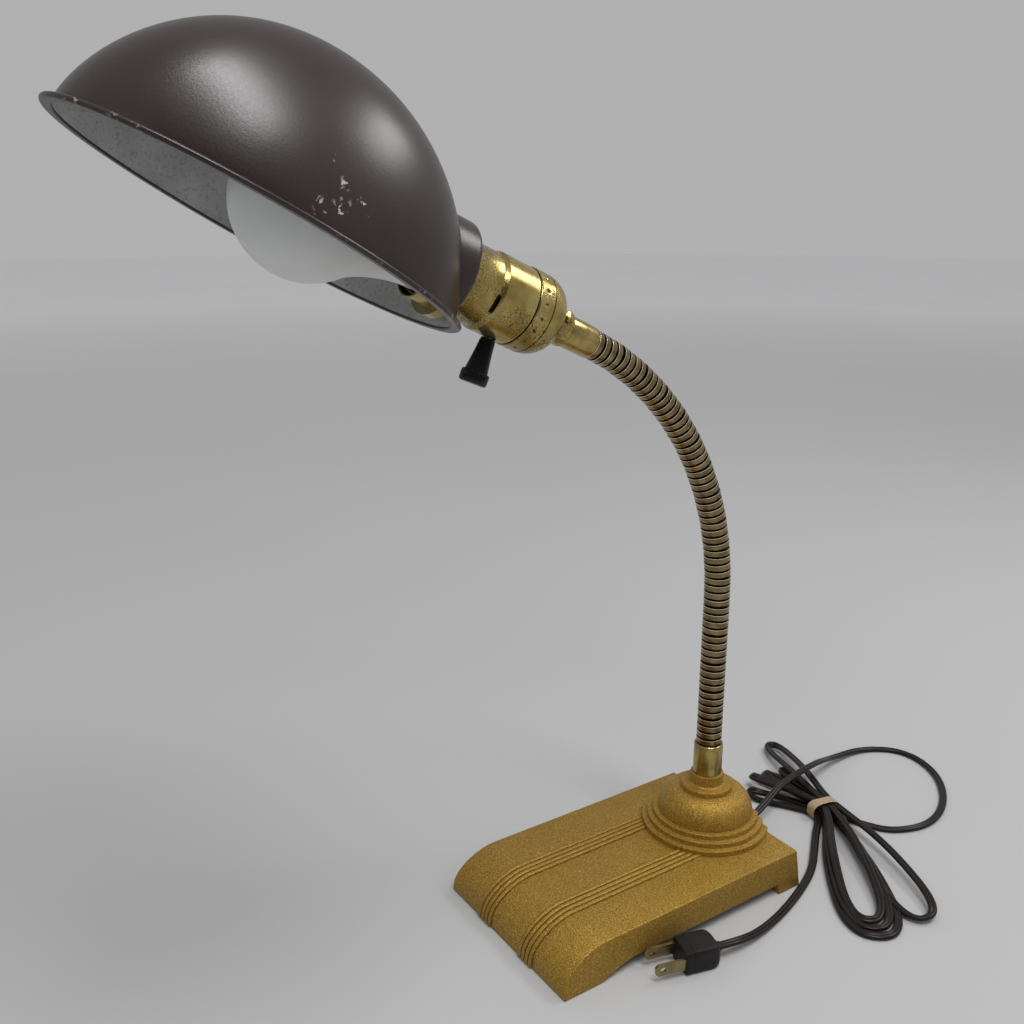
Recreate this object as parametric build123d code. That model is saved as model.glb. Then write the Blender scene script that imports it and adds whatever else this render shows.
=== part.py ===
from build123d import *
from math import cos, pi, radians, sin, tan
import os

# Fits
fit = 0.05            # radial, between a tube and the hole it sits in
clearance = 0.3       # between pieces that move on each other
round_sides = 32      # flats round a turned piece
hidden_sides = 20     # and round a slim one
edge = 0.6            # broken edges of turned pieces
overlap = 1.0         # of solids and cuts that join

# Base casting
base_length = 163.5
base_width = 105.0
base_height = 21.8
base_draft = 5.0      # degrees, on the outer walls
base_wall = 5.0
front_radius = 32.0   # waterfall front, an eighth of a turn on each of two radii
nose_radius = 15.0
arch_front = 22.4     # from the front end to the side arch
arch_rear = 16.3
arch_height = 6.0
arch_run = 24.0
arch_bulge = 0.57     # share of the arch's height at the middle of its run
reed_count = 4
reed_pitch = 3.1
reed_width = 2.4
reed_height = 0.9
reed_foot = 0.8       # height of the reeds' lower ends
reed_offset = 18.8    # from the middle to the middle of a band

# Stepped dome on the base
dome_back = 24.25     # from the rear end to the dome's axis
ring_radii = (36.0, 33.0, 30.0)
ring_height = 3.1
bowl_radius = 26.8
disc_radius = 14.0
bowl_height = 14.0
disc_height = 3.0
collar_radius = 9.3
collar_height = 6.5
dome_bore = 17.0
dome_roof = 11.5      # solid height over the hollow
hollow_rise = 3.0     # straight part of the hollow above the rings
bowl_turns = (0, 25, 50, 70, 90)

# Threaded nipple, washer and nut
nipple_radius = 4.9
nipple_bore = 3.4
nipple_reach = 6.5    # above the collar
washer_radius = 9.0
washer_thickness = 1.6
nut_radius = 8.1
nut_height = 5.0
nipple_tail = 1.5     # below the nut

# Ribbed neck
link_count = 16
ribs_per_link = 4
neck_straight = 89.3  # upright run above the ferrule
neck_radius = 158.0
neck_turn = 65.1
rib_radius = 7.15
root_radius = 6.3
rib_edge = 0.19       # from the groove to the crest's edge, as a share of the rib pitch
link_sides = 8
link_clear = 0.97     # crest to the joint's centre
link_gap = 0.8        # end face to the joint's centre
spigot_radius = 5.0
spigot_bore = 4.0
spigot_reach = 2.3
socket_radius = 5.85
socket_depth = 4.0
tail_radius = 6.2
tail_length = 10.5

# Ferrules at the two ends of the neck
ferrule_radius = 8.1
ferrule_bore = 6.6
ferrule_height = 18.5
tip_radius = 7.5
tip_length = 16.5
tip_mouth = 0.4       # behind the neck's end
spigot_length = 6.5

# Lamp socket, measured along its axis from the neck's end
cap_neck_radius = 8.2
cap_neck_length = 8.5
cap_radius = 18.3
cap_dome = 12.0
cap_skirt = 7.0
cap_wall = 0.9
cap_turns = (0, 25, 45, 65, 90)
cap_hollow = (0.66, 0.3)  # shares of the dome's rise and length at the hollow's knee
shell_tuck = 4.0
shell_radius = 17.3
shell_rear = 12.5
shell_step = 2.5
shell_front_radius = 16.7
shell_end = 96.0
shell_wall = 0.8
bead_radius = 18.0
bead_end = 80.2
bead_width = 1.0
bead_slope = 1.6
screw_place = 4.5
screw_turn = 58.0
screw_head = 2.4
screw_shank = 1.5
screw_proud = 2.0
switch_radius = 14.2
switch_start = 47.0
switch_end = 66.0
terminal_radius = 2.6
terminal_height = 2.2
terminal_offset = 6.5
thread_radius = 14.7  # across the corners of the screw shell
thread_wall = 0.6
thread_end = 94.0
contact_radius = 4.5
contact_height = 1.6
ring_radius = 20.5
ring_width = 4.6
ring_sides = 24

# Turn knob under the socket
knob_place = 52.0
knob_turn = -53.0     # of its flat side, from straight across the socket
shaft_radius = 1.6
shaft_root = 9.0
shaft_end = 28.0
knob_root = 19.0
knob_neck = 33.0
knob_end = 38.5
knob_root_size = (7.0, 5.0)
knob_neck_size = (10.2, 5.8)
knob_end_size = (12.6, 6.6)
knob_edge = 0.8

# Bulb
bulb_radius = 30.0
bulb_length = 110.4
bulb_neck = 13.0
bulb_base_radius = 13.2
bulb_base_length = 24.0
bulb_pin_radius = 4.8
bulb_pin_height = 1.6
bulb_step = 1.8       # between the base's end and its thread
glass_wall = 1.0
neck_swell = ((1.0, 0.0), (1.05, 5.0), (1.24, 14.0))  # share of the neck's radius and height
globe_turns = (0.86, 1.15, 1.45, 1.75, 2.05, 2.35, 2.65, 2.95)
small_sides = 12      # flats round the small and inner pieces

# Shade
shade_length = 165.4
shade_width = 104.0
shade_height = 68.7
shade_wall = 1.0
shade_sides = 32
shade_bands = 8
dome_power = 2.09     # shape of the dome's profile
dome_share = 0.617
crown = 0.7           # share of a band left flat at the top
lip_width = 3.5
lip_thickness = 1.8
shade_reach = 158.5   # along the socket's axis to the middle of the rim
shade_drop = 14.8     # from the axis down to the middle of the rim
shade_tilt = 5.1
collar_outer = 22.4
collar_depth = 27.0
flange = 1.0

# Cord, tie and plug
cord_radius = 2.25    # to the corners of its section
cord_sides = 4
bend_share = 0.45     # of the shorter run, used by a bend
floor_gap = 0.2
strand_gap = 0.45
bushing_flange = 4.6
bushing_wall = 1.0
bushing_lip = 1.2
exit_height = 8.5
tie_place = (10.0, 152.0)
tie_bearing = -8.6
tie_width = 7.0
tie_thickness = 0.8
tie_slack = 0.3
waist = 9.0           # half the straight run of a strand through the tie
shoulder_share = 0.42
shoulder_width = 0.85
long_fold = 60.0      # folds from this reach on have shoulders
lead_in = 14.0        # bearings of the two leads at the tie
lead_out = -60.0
plug_bearing = 255.0
plug_entry = (base_width / 2 + 17.0, -0.5)
plug_run = 11.0       # straight cord into the plug
plug_length = 19.5
plug_shoulder = 3.5
plug_width = 16.0
plug_height = 13.0
plug_rear_size = (13.0, 10.0)
blade_length = 16.5
blade_height = 6.3
blade_thickness = 1.5
blade_pitch = 12.7
blade_hole = 1.6
blade_seat = 4.0

# Places that follow from the sizes
rear = base_length / 2
base_side = base_width / 2
dome_y = rear - dome_back
front_start = front_radius * sin(pi / 4) + nose_radius * (1 - cos(pi / 4)) - rear
ring_tops = [base_height + ring_height * (i + 1) for i in range(len(ring_radii))]
disc_bottom = ring_tops[-1] + bowl_height
disc_top = disc_bottom + disc_height
collar_top = disc_top + collar_height
roof = collar_top - dome_roof
nut_bottom = roof - washer_thickness - nut_height
neck_start = collar_top + ferrule_height
neck_length = neck_straight + neck_radius * radians(neck_turn)
link_pitch = neck_length / link_count
cap_start = tip_length
cap_shoulder = cap_start + cap_neck_length
cap_edge = cap_shoulder + cap_dome
cap_end = cap_edge + cap_skirt
shell_start = cap_end - shell_tuck
step_start = cap_end + shell_rear
step_end = step_start + shell_step
seat = bead_end + clearance
ring_start = seat + flange + clearance
pin_start = switch_end + contact_height
bulb_start = pin_start + bulb_pin_height
glass_start = bulb_start + bulb_base_length + bulb_step
cord_size = 2 * cord_radius
strand_pitch = cord_size + strand_gap
row_height = floor_gap / 2 + tie_thickness + tie_slack + cord_radius
floor_height = cord_radius + floor_gap


def neck_point(distance):
    """A place on the neck's middle line, measured along it from the lower ferrule."""
    if distance <= neck_straight:
        return Vector(0, dome_y, neck_start + distance)
    turn = (distance - neck_straight) / neck_radius
    lean = neck_radius * (1 - cos(turn))
    return Vector(0, dome_y - lean, neck_start + neck_straight + neck_radius * sin(turn))


neck_joints = [neck_point(i * link_pitch) for i in range(link_count + 1)]
head_dir = Vector(0, -sin(radians(neck_turn)), cos(radians(neck_turn)))
head = Plane(origin=neck_joints[-1], x_dir=(1, 0, 0), z_dir=head_dir)
upright = Plane(origin=(0, dome_y, 0), x_dir=(1, 0, 0), z_dir=(0, 0, 1))


def faceted(rings):
    """A solid with flat facets through a stack of rings, each a list of as many points."""
    faces = [Face(Wire.make_polygon(rings[0])), Face(Wire.make_polygon(rings[-1]))]
    for low, high in zip(rings, rings[1:]):
        for i in range(len(low)):
            j = (i + 1) % len(low)
            faces.append(Face(Wire.make_polygon([low[i], low[j], high[j], high[i]])))
    return Solid(Shell(faces))


def oval(half_width, half_length, height, sides):
    steps = [2 * pi * i / sides for i in range(sides)]
    return [(half_width * cos(a), half_length * sin(a), height) for a in steps]


def turned(outline, sides=round_sides):
    """A round piece about the local Z axis, from radii and heights going up."""
    return faceted([oval(radius, radius, height, sides) for radius, height in outline])


def rod(radius, bottom, top):
    return Pos(0, 0, bottom) * Cylinder(radius, top - bottom, align=(Align.CENTER, Align.CENTER, Align.MIN))


def prism(radius, sides, bottom, top):
    return turned([(radius, bottom), (radius, top)], sides)


def box(width, depth, bottom, top):
    return Pos(0, 0, bottom) * Box(width, depth, top - bottom, align=(Align.CENTER, Align.CENTER, Align.MIN))


def side_outline(inset, bottom):
    """The base seen from the side: flat top, upright rear and waterfall front, moved in by an inset."""
    top = base_height - inset
    fall = JernArc((front_start, top), (-1, 0), front_radius - inset, 45)
    nose = JernArc(fall @ 1, fall % 1, nose_radius - inset, 45)
    toe = nose @ 1
    rest = Polyline(toe, (toe.X, bottom), (rear, bottom), (rear, top), (front_start, top))
    return Plane.YZ * make_face([fall.edge(), nose.edge(), *rest.edges()])


def across(face, width, x=0.0):
    """A face of the side view made as wide as given about a place on X."""
    return Pos(x, 0, 0) * extrude(face, width / 2, both=True)


def base_casting():
    plan = extrude(Rectangle(base_width, base_length), base_height, taper=base_draft)
    slab = plan & across(side_outline(0, 0), base_width)
    inner_plan = extrude(
        Rectangle(base_width - 2 * base_wall, base_length - 2 * base_wall), base_height, taper=base_draft
    )
    pocket = inner_plan & across(side_outline(base_wall, -base_wall), base_width)
    foot = arch_front - rear
    heel = rear - arch_rear
    arch_edge = ThreePointArc(
        (foot, 0), (foot + arch_run / 2, arch_height * arch_bulge), (foot + arch_run, arch_height)
    )
    arch = make_face([
        arch_edge.edge(),
        Line((foot + arch_run, arch_height), (heel, arch_height)).edge(),
        Line((heel, arch_height), (heel, -base_wall)).edge(),
        Line((heel, -base_wall), (foot, -base_wall)).edge(),
        Line((foot, -base_wall), (foot, 0)).edge(),
    ])
    low = base_height - overlap
    steps = [prism(radius, round_sides, low, top) for radius, top in zip(ring_radii, ring_tops)]
    turns = [radians(turn) for turn in bowl_turns]
    bowl = [
        (disc_radius + (bowl_radius - disc_radius) * cos(turn), ring_tops[-1] + bowl_height * sin(turn))
        for turn in turns
    ]
    bowl = turned([(bowl_radius, base_height)] + bowl)
    disc = prism(disc_radius, round_sides, ring_tops[-1], disc_top)
    collar = prism(collar_radius, round_sides, ring_tops[-1], collar_top)
    rear_cut = extrude(Rectangle(base_width, base_length), 2 * collar_top, taper=base_draft)
    dome = upright.location * (bowl + steps + disc + collar) & rear_cut
    dome_hollow = upright.location * turned([
        (dome_bore, -base_wall), (dome_bore, ring_tops[-1] + hollow_rise), (washer_radius + overlap, roof),
    ])
    nipple_hole = upright.location * prism(
        nipple_radius + fit, hidden_sides, roof - overlap, collar_top + overlap
    )
    wall_hole = Plane(origin=(0, rear - 2 * base_wall, exit_height), z_dir=(0, 1, 0)) * rod(
        cord_radius + clearance + bushing_wall + fit, 0, 3 * base_wall
    )
    ahead_of_dome = Pos(dome_y - base_length, base_height) * Rectangle(2 * base_length, 4 * base_height)
    reed_strip = side_outline(-reed_height, reed_foot) - side_outline(reed_height, -overlap)
    reed_strip = reed_strip & Plane.YZ * ahead_of_dome
    reeds = []
    for side in (-1, 1):
        for i in range(reed_count):
            place = side * reed_offset + (i - (reed_count - 1) / 2) * reed_pitch
            reeds.append(across(reed_strip, reed_width, place))
    body = slab - pocket - across(Plane.YZ * arch, 2 * base_width) + dome
    return body + reeds - dome_hollow - nipple_hole - wall_hole


def tube(outer, inner, bottom, top, sides=round_sides):
    return prism(outer, sides, bottom, top) - prism(inner, sides, bottom, top)


def neck_link(index):
    """One stiff length of the neck between two of its bending points, with its ribs."""
    low = neck_joints[index]
    high = neck_joints[index + 1]
    length = (high - low).length
    pitch = length / ribs_per_link
    rings = [(root_radius, link_gap)]
    for rib in range(ribs_per_link):
        start = rib * pitch
        crest_low = max(start + rib_edge * pitch, link_clear)
        crest_high = min(start + (1 - rib_edge) * pitch, length - link_clear)
        foot = min(start + pitch, length - link_gap)
        rings += [(rib_radius, crest_low), (rib_radius, crest_high), (root_radius, foot)]
    ribs = turned(rings, link_sides)
    spigot = prism(spigot_radius, link_sides, length - 2 * pitch, length + spigot_reach)
    body = ribs + spigot
    body -= prism(socket_radius, link_sides, 0, socket_depth)
    body -= prism(spigot_bore, link_sides, 0, 2 * length)
    return Plane(origin=low, x_dir=(1, 0, 0), z_dir=high - low).location * body


def first_link():
    """The lowest link ends in a plain tail inside the lower ferrule."""
    tail = Plane(origin=neck_joints[0]) * (
        prism(tail_radius, link_sides, -tail_length, socket_depth)
        - prism(spigot_bore, link_sides, -2 * tail_length, 2 * tail_length)
    )
    return neck_link(0) + tail


def last_link():
    """The highest link ends in a plain tail inside the upper ferrule."""
    low = neck_joints[-2]
    high = neck_joints[-1]
    length = (high - low).length
    stub = prism(root_radius, link_sides, length - link_pitch / ribs_per_link, length + 2 * spigot_reach)
    trim = head.location * box(4 * rib_radius, 4 * rib_radius, -link_pitch, tip_mouth - link_gap)
    stub = Plane(origin=low, x_dir=(1, 0, 0), z_dir=high - low).location * stub & trim
    tail = head.location * prism(tail_radius, link_sides, -link_gap - tip_mouth, tail_length)
    bore = head.location * prism(spigot_bore, link_sides, -link_pitch / 2, 2 * tail_length)
    link = neck_link(link_count - 1) - head.location * box(
        4 * rib_radius, 4 * rib_radius, -tip_mouth, link_pitch
    )
    return link + stub + tail - bore


def lower_ferrule():
    step = collar_top + nipple_reach + fit
    body = turned([
        (ferrule_radius - edge, collar_top), (ferrule_radius, collar_top + edge),
        (ferrule_radius, neck_start - edge), (ferrule_radius - edge, neck_start),
    ], hidden_sides)
    bore = turned([
        (nipple_radius + fit, collar_top), (nipple_radius + fit, step),
        (ferrule_bore, step), (ferrule_bore, neck_start),
    ], hidden_sides)
    return upright.location * (body - bore)


def upper_ferrule():
    body = turned([
        (tip_radius - edge, -tip_mouth), (tip_radius, edge - tip_mouth), (tip_radius, tip_length),
        (nipple_radius, tip_length), (nipple_radius, tip_length + spigot_length),
    ], hidden_sides)
    bore = turned([
        (ferrule_bore, -tip_mouth), (ferrule_bore, tail_length + overlap),
        (nipple_bore, tail_length + overlap), (nipple_bore, tip_length + spigot_length),
    ], hidden_sides)
    return body - bore


def socket_cap():
    rise = cap_radius - cap_neck_radius
    turns = [radians(turn) for turn in cap_turns]
    body = turned(
        [(cap_neck_radius, cap_start)]
        + [(cap_neck_radius + rise * sin(turn), cap_shoulder + cap_dome * (1 - cos(turn))) for turn in turns]
        + [(cap_radius, cap_end)]
    )
    hollow = turned([
        (cap_neck_radius - cap_wall, cap_shoulder + cap_wall),
        (cap_neck_radius + rise * cap_hollow[0], cap_shoulder + cap_dome * cap_hollow[1] + cap_wall),
        (cap_radius - cap_wall, cap_edge + cap_wall), (cap_radius - cap_wall, cap_end),
    ])
    spigot_hole = prism(nipple_radius + fit, hidden_sides, cap_start, cap_shoulder + 2 * cap_wall)
    screw_hole = set_screw_frame() * prism(screw_shank + fit, small_sides, 0, 2 * cap_neck_radius)
    return body - hollow - spigot_hole - screw_hole


def set_screw_frame():
    turn = radians(screw_turn)
    return Plane(
        origin=(0, 0, cap_start + screw_place), x_dir=(0, 0, 1), z_dir=(sin(turn), cos(turn), 0)
    ).location


def set_screw():
    top = cap_neck_radius + screw_proud
    return set_screw_frame() * turned([
        (screw_shank, nipple_radius + fit), (screw_shank, cap_neck_radius),
        (screw_head, cap_neck_radius), (screw_head, top),
    ], small_sides)


def knob_frame():
    return Plane(origin=(0, 0, knob_place), x_dir=(1, 0, 0), z_dir=(0, -1, 0)).location


def socket_shell():
    body = turned([
        (shell_radius, shell_start), (shell_radius, step_start), (shell_front_radius, step_end),
        (shell_front_radius, bead_end - bead_width - bead_slope), (bead_radius, bead_end - bead_width),
        (bead_radius, bead_end), (shell_front_radius, bead_end), (shell_front_radius, shell_end),
    ])
    bore = prism(shell_front_radius - shell_wall, round_sides, shell_start, shell_end)
    return body - bore - knob_frame() * rod(shaft_radius + 2 * clearance, 0, 2 * shell_radius)


def switch_body():
    body = prism(switch_radius, 6, switch_start, switch_end)
    return body - knob_frame() * rod(shaft_radius + clearance, shaft_root - clearance, switch_radius)


def terminal_screw(side):
    screw = prism(terminal_radius, 6, switch_start - terminal_height, switch_start)
    return Pos(side * terminal_offset, 0, 0) * screw


def screw_shell():
    return prism(thread_radius, small_sides, switch_end, thread_end) - prism(
        thread_radius - thread_wall, small_sides, switch_end, thread_end
    )


def shade_ring():
    return prism(ring_radius, ring_sides, ring_start, ring_start + ring_width) - prism(
        shell_front_radius + fit, round_sides, ring_start, ring_start + ring_width
    )


def bulb_base():
    body = prism(bulb_base_radius, small_sides, bulb_start + bulb_step, glass_start)
    return body + prism(2 * bulb_pin_radius, small_sides, bulb_start, bulb_start + bulb_step)


def bulb_outline(inset):
    middle = pin_start + bulb_length - bulb_radius
    radius = bulb_radius - inset
    globe = [(radius * sin(turn), middle - radius * cos(turn)) for turn in globe_turns]
    neck = [(bulb_neck * share - inset, glass_start + rise) for share, rise in neck_swell]
    return neck + globe


def bulb_glass():
    return turned(bulb_outline(0)) - turned(bulb_outline(glass_wall), hidden_sides)


def corners(size, height):
    x = size[0] / 2
    y = size[1] / 2
    return [(x, y, height), (-x, y, height), (-x, -y, height), (x, -y, height)]


def switch_shaft():
    return knob_frame() * rod(shaft_radius, shaft_root, shaft_end)


def switch_knob():
    stem = faceted([
        corners(knob_root_size, knob_root), corners(knob_neck_size, knob_neck),
    ])
    grip = chamfer(box(*knob_end_size, knob_neck, knob_end).edges(), knob_edge)
    knob = stem + grip - rod(shaft_radius + fit, knob_root, shaft_end)
    return knob_frame() * Rot(0, 0, knob_turn) * knob


shade_frame = Plane(
    origin=(0, -shade_drop, shade_reach),
    x_dir=(1, 0, 0),
    z_dir=(0, cos(radians(shade_tilt)), -sin(radians(shade_tilt))),
).location


def dome_solid(inset):
    """The shade's dome on its oval plan, moved in by a wall."""
    rings = []
    for band in range(shade_bands + 1):
        share = sin(pi / 2 * (1 - band / (shade_bands + crown)))
        height = (shade_height - inset) * (1 - share ** dome_power) ** dome_share
        half_width = (shade_width / 2 - inset) * share
        half_length = (shade_length / 2 - inset) * share
        rings.append(oval(half_width, half_length, height, shade_sides))
    return faceted(rings)


def rim_face(offset):
    points = oval(shade_width / 2 + offset, shade_length / 2 + offset, 0, shade_sides)
    return make_face(Polyline(*points, close=True))


def shade():
    above = shade_frame * box(4 * shade_width, 4 * shade_length, 0, 4 * shade_height)
    neck = rod(collar_outer, seat, seat + collar_depth) & above
    neck_bore = rod(collar_outer - shade_wall, seat + flange, seat + 2 * collar_depth) & above
    opening = rod(shell_front_radius + clearance, seat - collar_depth, seat + collar_depth)
    entry = rod(bead_radius + clearance, seat - collar_depth, seat)
    rim = extrude(rim_face(lip_width) - rim_face(-shade_wall / 2), lip_thickness / 2, both=True)
    bowl = shade_frame * dome_solid(0) + neck
    return bowl - shade_frame * dome_solid(shade_wall) - neck_bore - opening - entry + shade_frame * rim


def bend_radii(points):
    """The radius of each bend of a free cord, from its shorter run and its turn."""
    radii = []
    for before, corner, after in zip(points, points[1:], points[2:]):
        run_in = Vector(corner) - Vector(before)
        run_out = Vector(after) - Vector(corner)
        turn = radians(run_in.get_angle(run_out))
        radii.append(bend_share * min(run_in.length, run_out.length) / tan(turn / 2))
    return radii


def cord_path(points):
    return FilletPolyline(*points, radius=bend_radii(points))


def cord(points):
    path = cord_path(points)
    section = Plane(origin=path @ 0, z_dir=path % 0) * RegularPolygon(cord_radius, cord_sides)
    return sweep(section, path=path)


def tie_point(along, column, row):
    """A place in the tied waist: along the strands, across them in columns and up in rows."""
    turn = radians(tie_bearing)
    side = column * strand_pitch
    return Vector(
        tie_place[0] + along * cos(turn) - side * sin(turn),
        tie_place[1] + along * sin(turn) + side * cos(turn),
        row_height + row * strand_pitch,
    )


# The ten strands in the waist, as column and row, in the order that the cord takes them
strands = [
    (1.5, 0), (1.5, 1), (1.5, 2), (0.5, 2), (-0.5, 2), (-0.5, 1), (0.5, 1), (0.5, 0), (-0.5, 0), (-1.6, 0),
]
# The folds between them, left and right in turn: bearing, reach, half width and height of the tip
folds = [
    (168.0, 40.0, 3.2, floor_height), (-23.5, 106.0, 6.6, floor_height),
    (160.0, 72.0, 3.1, 2 * floor_height), (-40.7, 104.0, 3.7, floor_height),
    (195.0, 42.0, 3.2, 3 * floor_height), (-40.7, 110.5, 9.1, floor_height),
    (181.0, 42.0, 3.2, floor_height), (-40.7, 117.0, 14.5, floor_height),
    (209.0, 38.0, 3.6, floor_height),
]


def fold_points(start, end, bearing, reach, half_width, tip_height):
    """Out from one strand's end, round the tip and back to the next strand's end."""
    turn = radians(bearing)
    ahead = Vector(cos(turn), sin(turn), 0)
    aside = Vector(-sin(turn), cos(turn), 0)
    root = (start + end) / 2
    offset = (start - end).dot(aside)
    side = 1 if offset > 0 or (abs(offset) < fit and start.Z > end.Z) else -1
    shoulder = root + ahead * (reach * shoulder_share)
    tip = root + ahead * reach
    spread = aside * (half_width * side)
    fall = min(start.Z, end.Z) - tip_height
    points = [tip + spread, tip - spread]
    heights = [start.Z - fall, end.Z - fall]
    if reach > long_fold:
        points = [shoulder + spread * shoulder_width, *points, shoulder - spread * shoulder_width]
        heights = [start.Z, *heights, end.Z]
    return [Vector(p.X, p.Y, z) for p, z in zip(points, heights)]


def strand_end(strand, side, bearing):
    """Where a strand leaves the waist: those on the outside of a turn run on further."""
    turn = radians(bearing - tie_bearing) if side > 0 else radians(bearing - tie_bearing - 180)
    return tie_point(side * waist - strand[0] * strand_pitch * tan(turn / 2), *strand)


def hank_points():
    points = [tie_point(0, *strands[0])]
    for i, fold in enumerate(folds):
        side = -1 if i % 2 == 0 else 1
        start = strand_end(strands[i], side, fold[0])
        end = strand_end(strands[i + 1], side, fold[0])
        points += [start, *fold_points(start, end, *fold), end]
    return points + [tie_point(0, *strands[-1])]


def least_gap(path):
    """The smallest gap from the cord to itself, measured on points along its path."""
    count = int(path.length / cord_radius)
    places = [path @ (i / count) for i in range(count + 1)]
    apart = int(4 * cord_size / cord_radius)
    gaps = [
        (places[i] - places[j]).length - cord_size
        for i in range(count + 1)
        for j in range(i + apart, count + 1)
    ]
    return min(gaps)


inner_route = [
    (0, rear - base_wall, exit_height), (0, rear - 3 * base_wall, exit_height),
    (0, dome_y, roof - 4 * nut_height), (0, dome_y, roof - nut_height),
]
base_route = [
    (0, rear - base_wall, exit_height), (0, rear + 3 * base_wall, exit_height), (-3, 117, 16),
    (-5.5, 134, 21), (-12.5, 170, 21), (-26, 204, 5), (-27, 235, floor_height), (-8, 256, floor_height),
    (22, 249, floor_height), (47, 223, floor_height), (58, 193, floor_height), (50, 169, floor_height),
    (35, 161, floor_height),
    strand_end(strands[0], 1, lead_in), tie_point(0, *strands[0]),
]
plug_axis = Vector(cos(radians(plug_bearing)), sin(radians(plug_bearing)), 0)
plug_start = Vector(*plug_entry, plug_height / 2 + floor_gap)
plug_route = [
    tie_point(0, *strands[-1]), strand_end(strands[-1], 1, lead_out), (22, 132, floor_height),
    (34.5, 115.5, floor_height), (base_side - 3.5, 96, floor_height), (base_side + 7, 72, floor_height),
    (base_side + 14.5, 48, floor_height), (base_side + 19, 27, 2 * cord_radius),
    plug_start - plug_axis * plug_run, plug_start,
]


def cord_bushing():
    outer = cord_radius + clearance + bushing_wall
    face = rear - (exit_height - bushing_flange) * tan(radians(base_draft))
    frame = Plane(origin=(0, face, exit_height), x_dir=(1, 0, 0), z_dir=(0, 1, 0)).location
    body = turned([
        (outer, -base_wall), (outer, 0), (bushing_flange, 0), (bushing_flange, bushing_lip),
    ], hidden_sides)
    return frame * (body - prism(cord_radius + clearance, hidden_sides, -base_wall, bushing_lip))


def cord_tie():
    columns = [column for column, row in strands]
    rows = [row for column, row in strands]
    width = (max(columns) - min(columns)) * strand_pitch + cord_size + 2 * tie_slack
    height = max(rows) * strand_pitch + cord_size + 2 * tie_slack
    wall = 2 * tie_thickness
    outer = chamfer(Rectangle(width + wall, height + wall).vertices(), cord_radius)
    ring = outer - chamfer(Rectangle(width, height).vertices(), cord_radius - tie_thickness / 2)
    turn = radians(tie_bearing)
    middle = tie_point(0, (max(columns) + min(columns)) / 2, max(rows) / 2)
    frame = Plane(origin=middle, x_dir=(-sin(turn), cos(turn), 0), z_dir=(cos(turn), sin(turn), 0))
    return frame.location * extrude(ring, tie_width / 2, both=True)


def plug_frame():
    return Plane(origin=plug_start, x_dir=(-plug_axis.Y, plug_axis.X, 0), z_dir=plug_axis).location


def blade_cut(side, slack):
    size = (blade_thickness + slack, blade_height + slack)
    blade = box(*size, plug_length - blade_seat, plug_length + blade_length)
    return Pos(side * blade_pitch / 2, 0, 0) * blade


def plug_body():
    body = faceted([
        corners(plug_rear_size, 0), corners((plug_width, plug_height), plug_shoulder),
        corners((plug_width, plug_height), plug_length),
    ])
    return plug_frame() * (body - blade_cut(-1, 2 * fit) - blade_cut(1, 2 * fit))


def plug_blade(side):
    place = Pos(0, 0, plug_length + blade_length - blade_seat) * Rot(0, 90, 0)
    return plug_frame() * (blade_cut(side, 0) - place * Cylinder(blade_hole, 3 * blade_pitch))


def on_head(solid):
    return head.location * solid


pieces = {
    "base_casting": base_casting(),
    "neck_nipple": upright.location * tube(
        nipple_radius, nipple_bore, nut_bottom - nipple_tail, collar_top + nipple_reach, hidden_sides
    ),
    "nipple_washer": upright.location * tube(
        washer_radius, nipple_radius + fit, roof - washer_thickness, roof, hidden_sides
    ),
    "nipple_nut": upright.location * (
        prism(nut_radius, 6, nut_bottom, roof - washer_thickness)
        - prism(nipple_radius + fit, hidden_sides, 0, collar_top)
    ),
    "lower_ferrule": lower_ferrule(),
    "cord_bushing": cord_bushing(),
    "inner_lead": cord(inner_route),
    "neck_link_01": first_link(),
}
for index in range(1, link_count - 1):
    pieces[f"neck_link_{index + 1:02d}"] = neck_link(index)
pieces[f"neck_link_{link_count}"] = last_link()
head_pieces = {
    "upper_ferrule": upper_ferrule(),
    "socket_cap": socket_cap(),
    "set_screw": set_screw(),
    "switch_body": switch_body(),
    "terminal_screw_left": terminal_screw(-1),
    "terminal_screw_right": terminal_screw(1),
    "screw_shell": screw_shell(),
    "centre_contact": prism(contact_radius, small_sides, switch_end, pin_start),
    "socket_shell": socket_shell(),
    "shade_ring": shade_ring(),
    "bulb_contact": prism(bulb_pin_radius, small_sides, pin_start, bulb_start),
    "bulb_base": bulb_base(),
    "bulb_glass": bulb_glass(),
    "switch_shaft": switch_shaft(),
    "switch_knob": switch_knob(),
    "shade": shade(),
}
for name, solid in head_pieces.items():
    pieces[name] = on_head(solid)

rigid = Compound(children=[Part(solid.wrapped) for solid in pieces.values()]).bounding_box()
shift = -(rigid.min.Y + rigid.max.Y) / 2

hank_route = hank_points()
cord_lengths = {}
for name, route in (("base_lead", base_route), ("cord_hank", hank_route), ("plug_lead", plug_route)):
    pieces[name] = cord(route)
    cord_lengths[name] = cord_path(route).length
    area = RegularPolygon(cord_radius, cord_sides).area
    share = pieces[name].volume / area / cord_lengths[name]
    print(name, "length", round(cord_lengths[name]), "volume share", round(share, 3))
    print(name, "least bend radius", round(min(bend_radii(route)), 1))
print("cord_hank least gap to itself", round(least_gap(cord_path(hank_route)), 2))
pieces["cord_tie"] = cord_tie()
pieces["plug_body"] = plug_body()
pieces["plug_blade_left"] = plug_blade(-1)
pieces["plug_blade_right"] = plug_blade(1)

os.makedirs("parts", exist_ok=True)
for name, solid in pieces.items():
    export_step(Pos(0, shift, 0) * solid, f"parts/{name}.step")
print("pieces", len(pieces), "shift", round(shift, 3))
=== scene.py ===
from math import cos, exp, pi, radians, sin, sqrt, tan

import bmesh
import bpy
from mathutils import Matrix, Vector, noise


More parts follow.
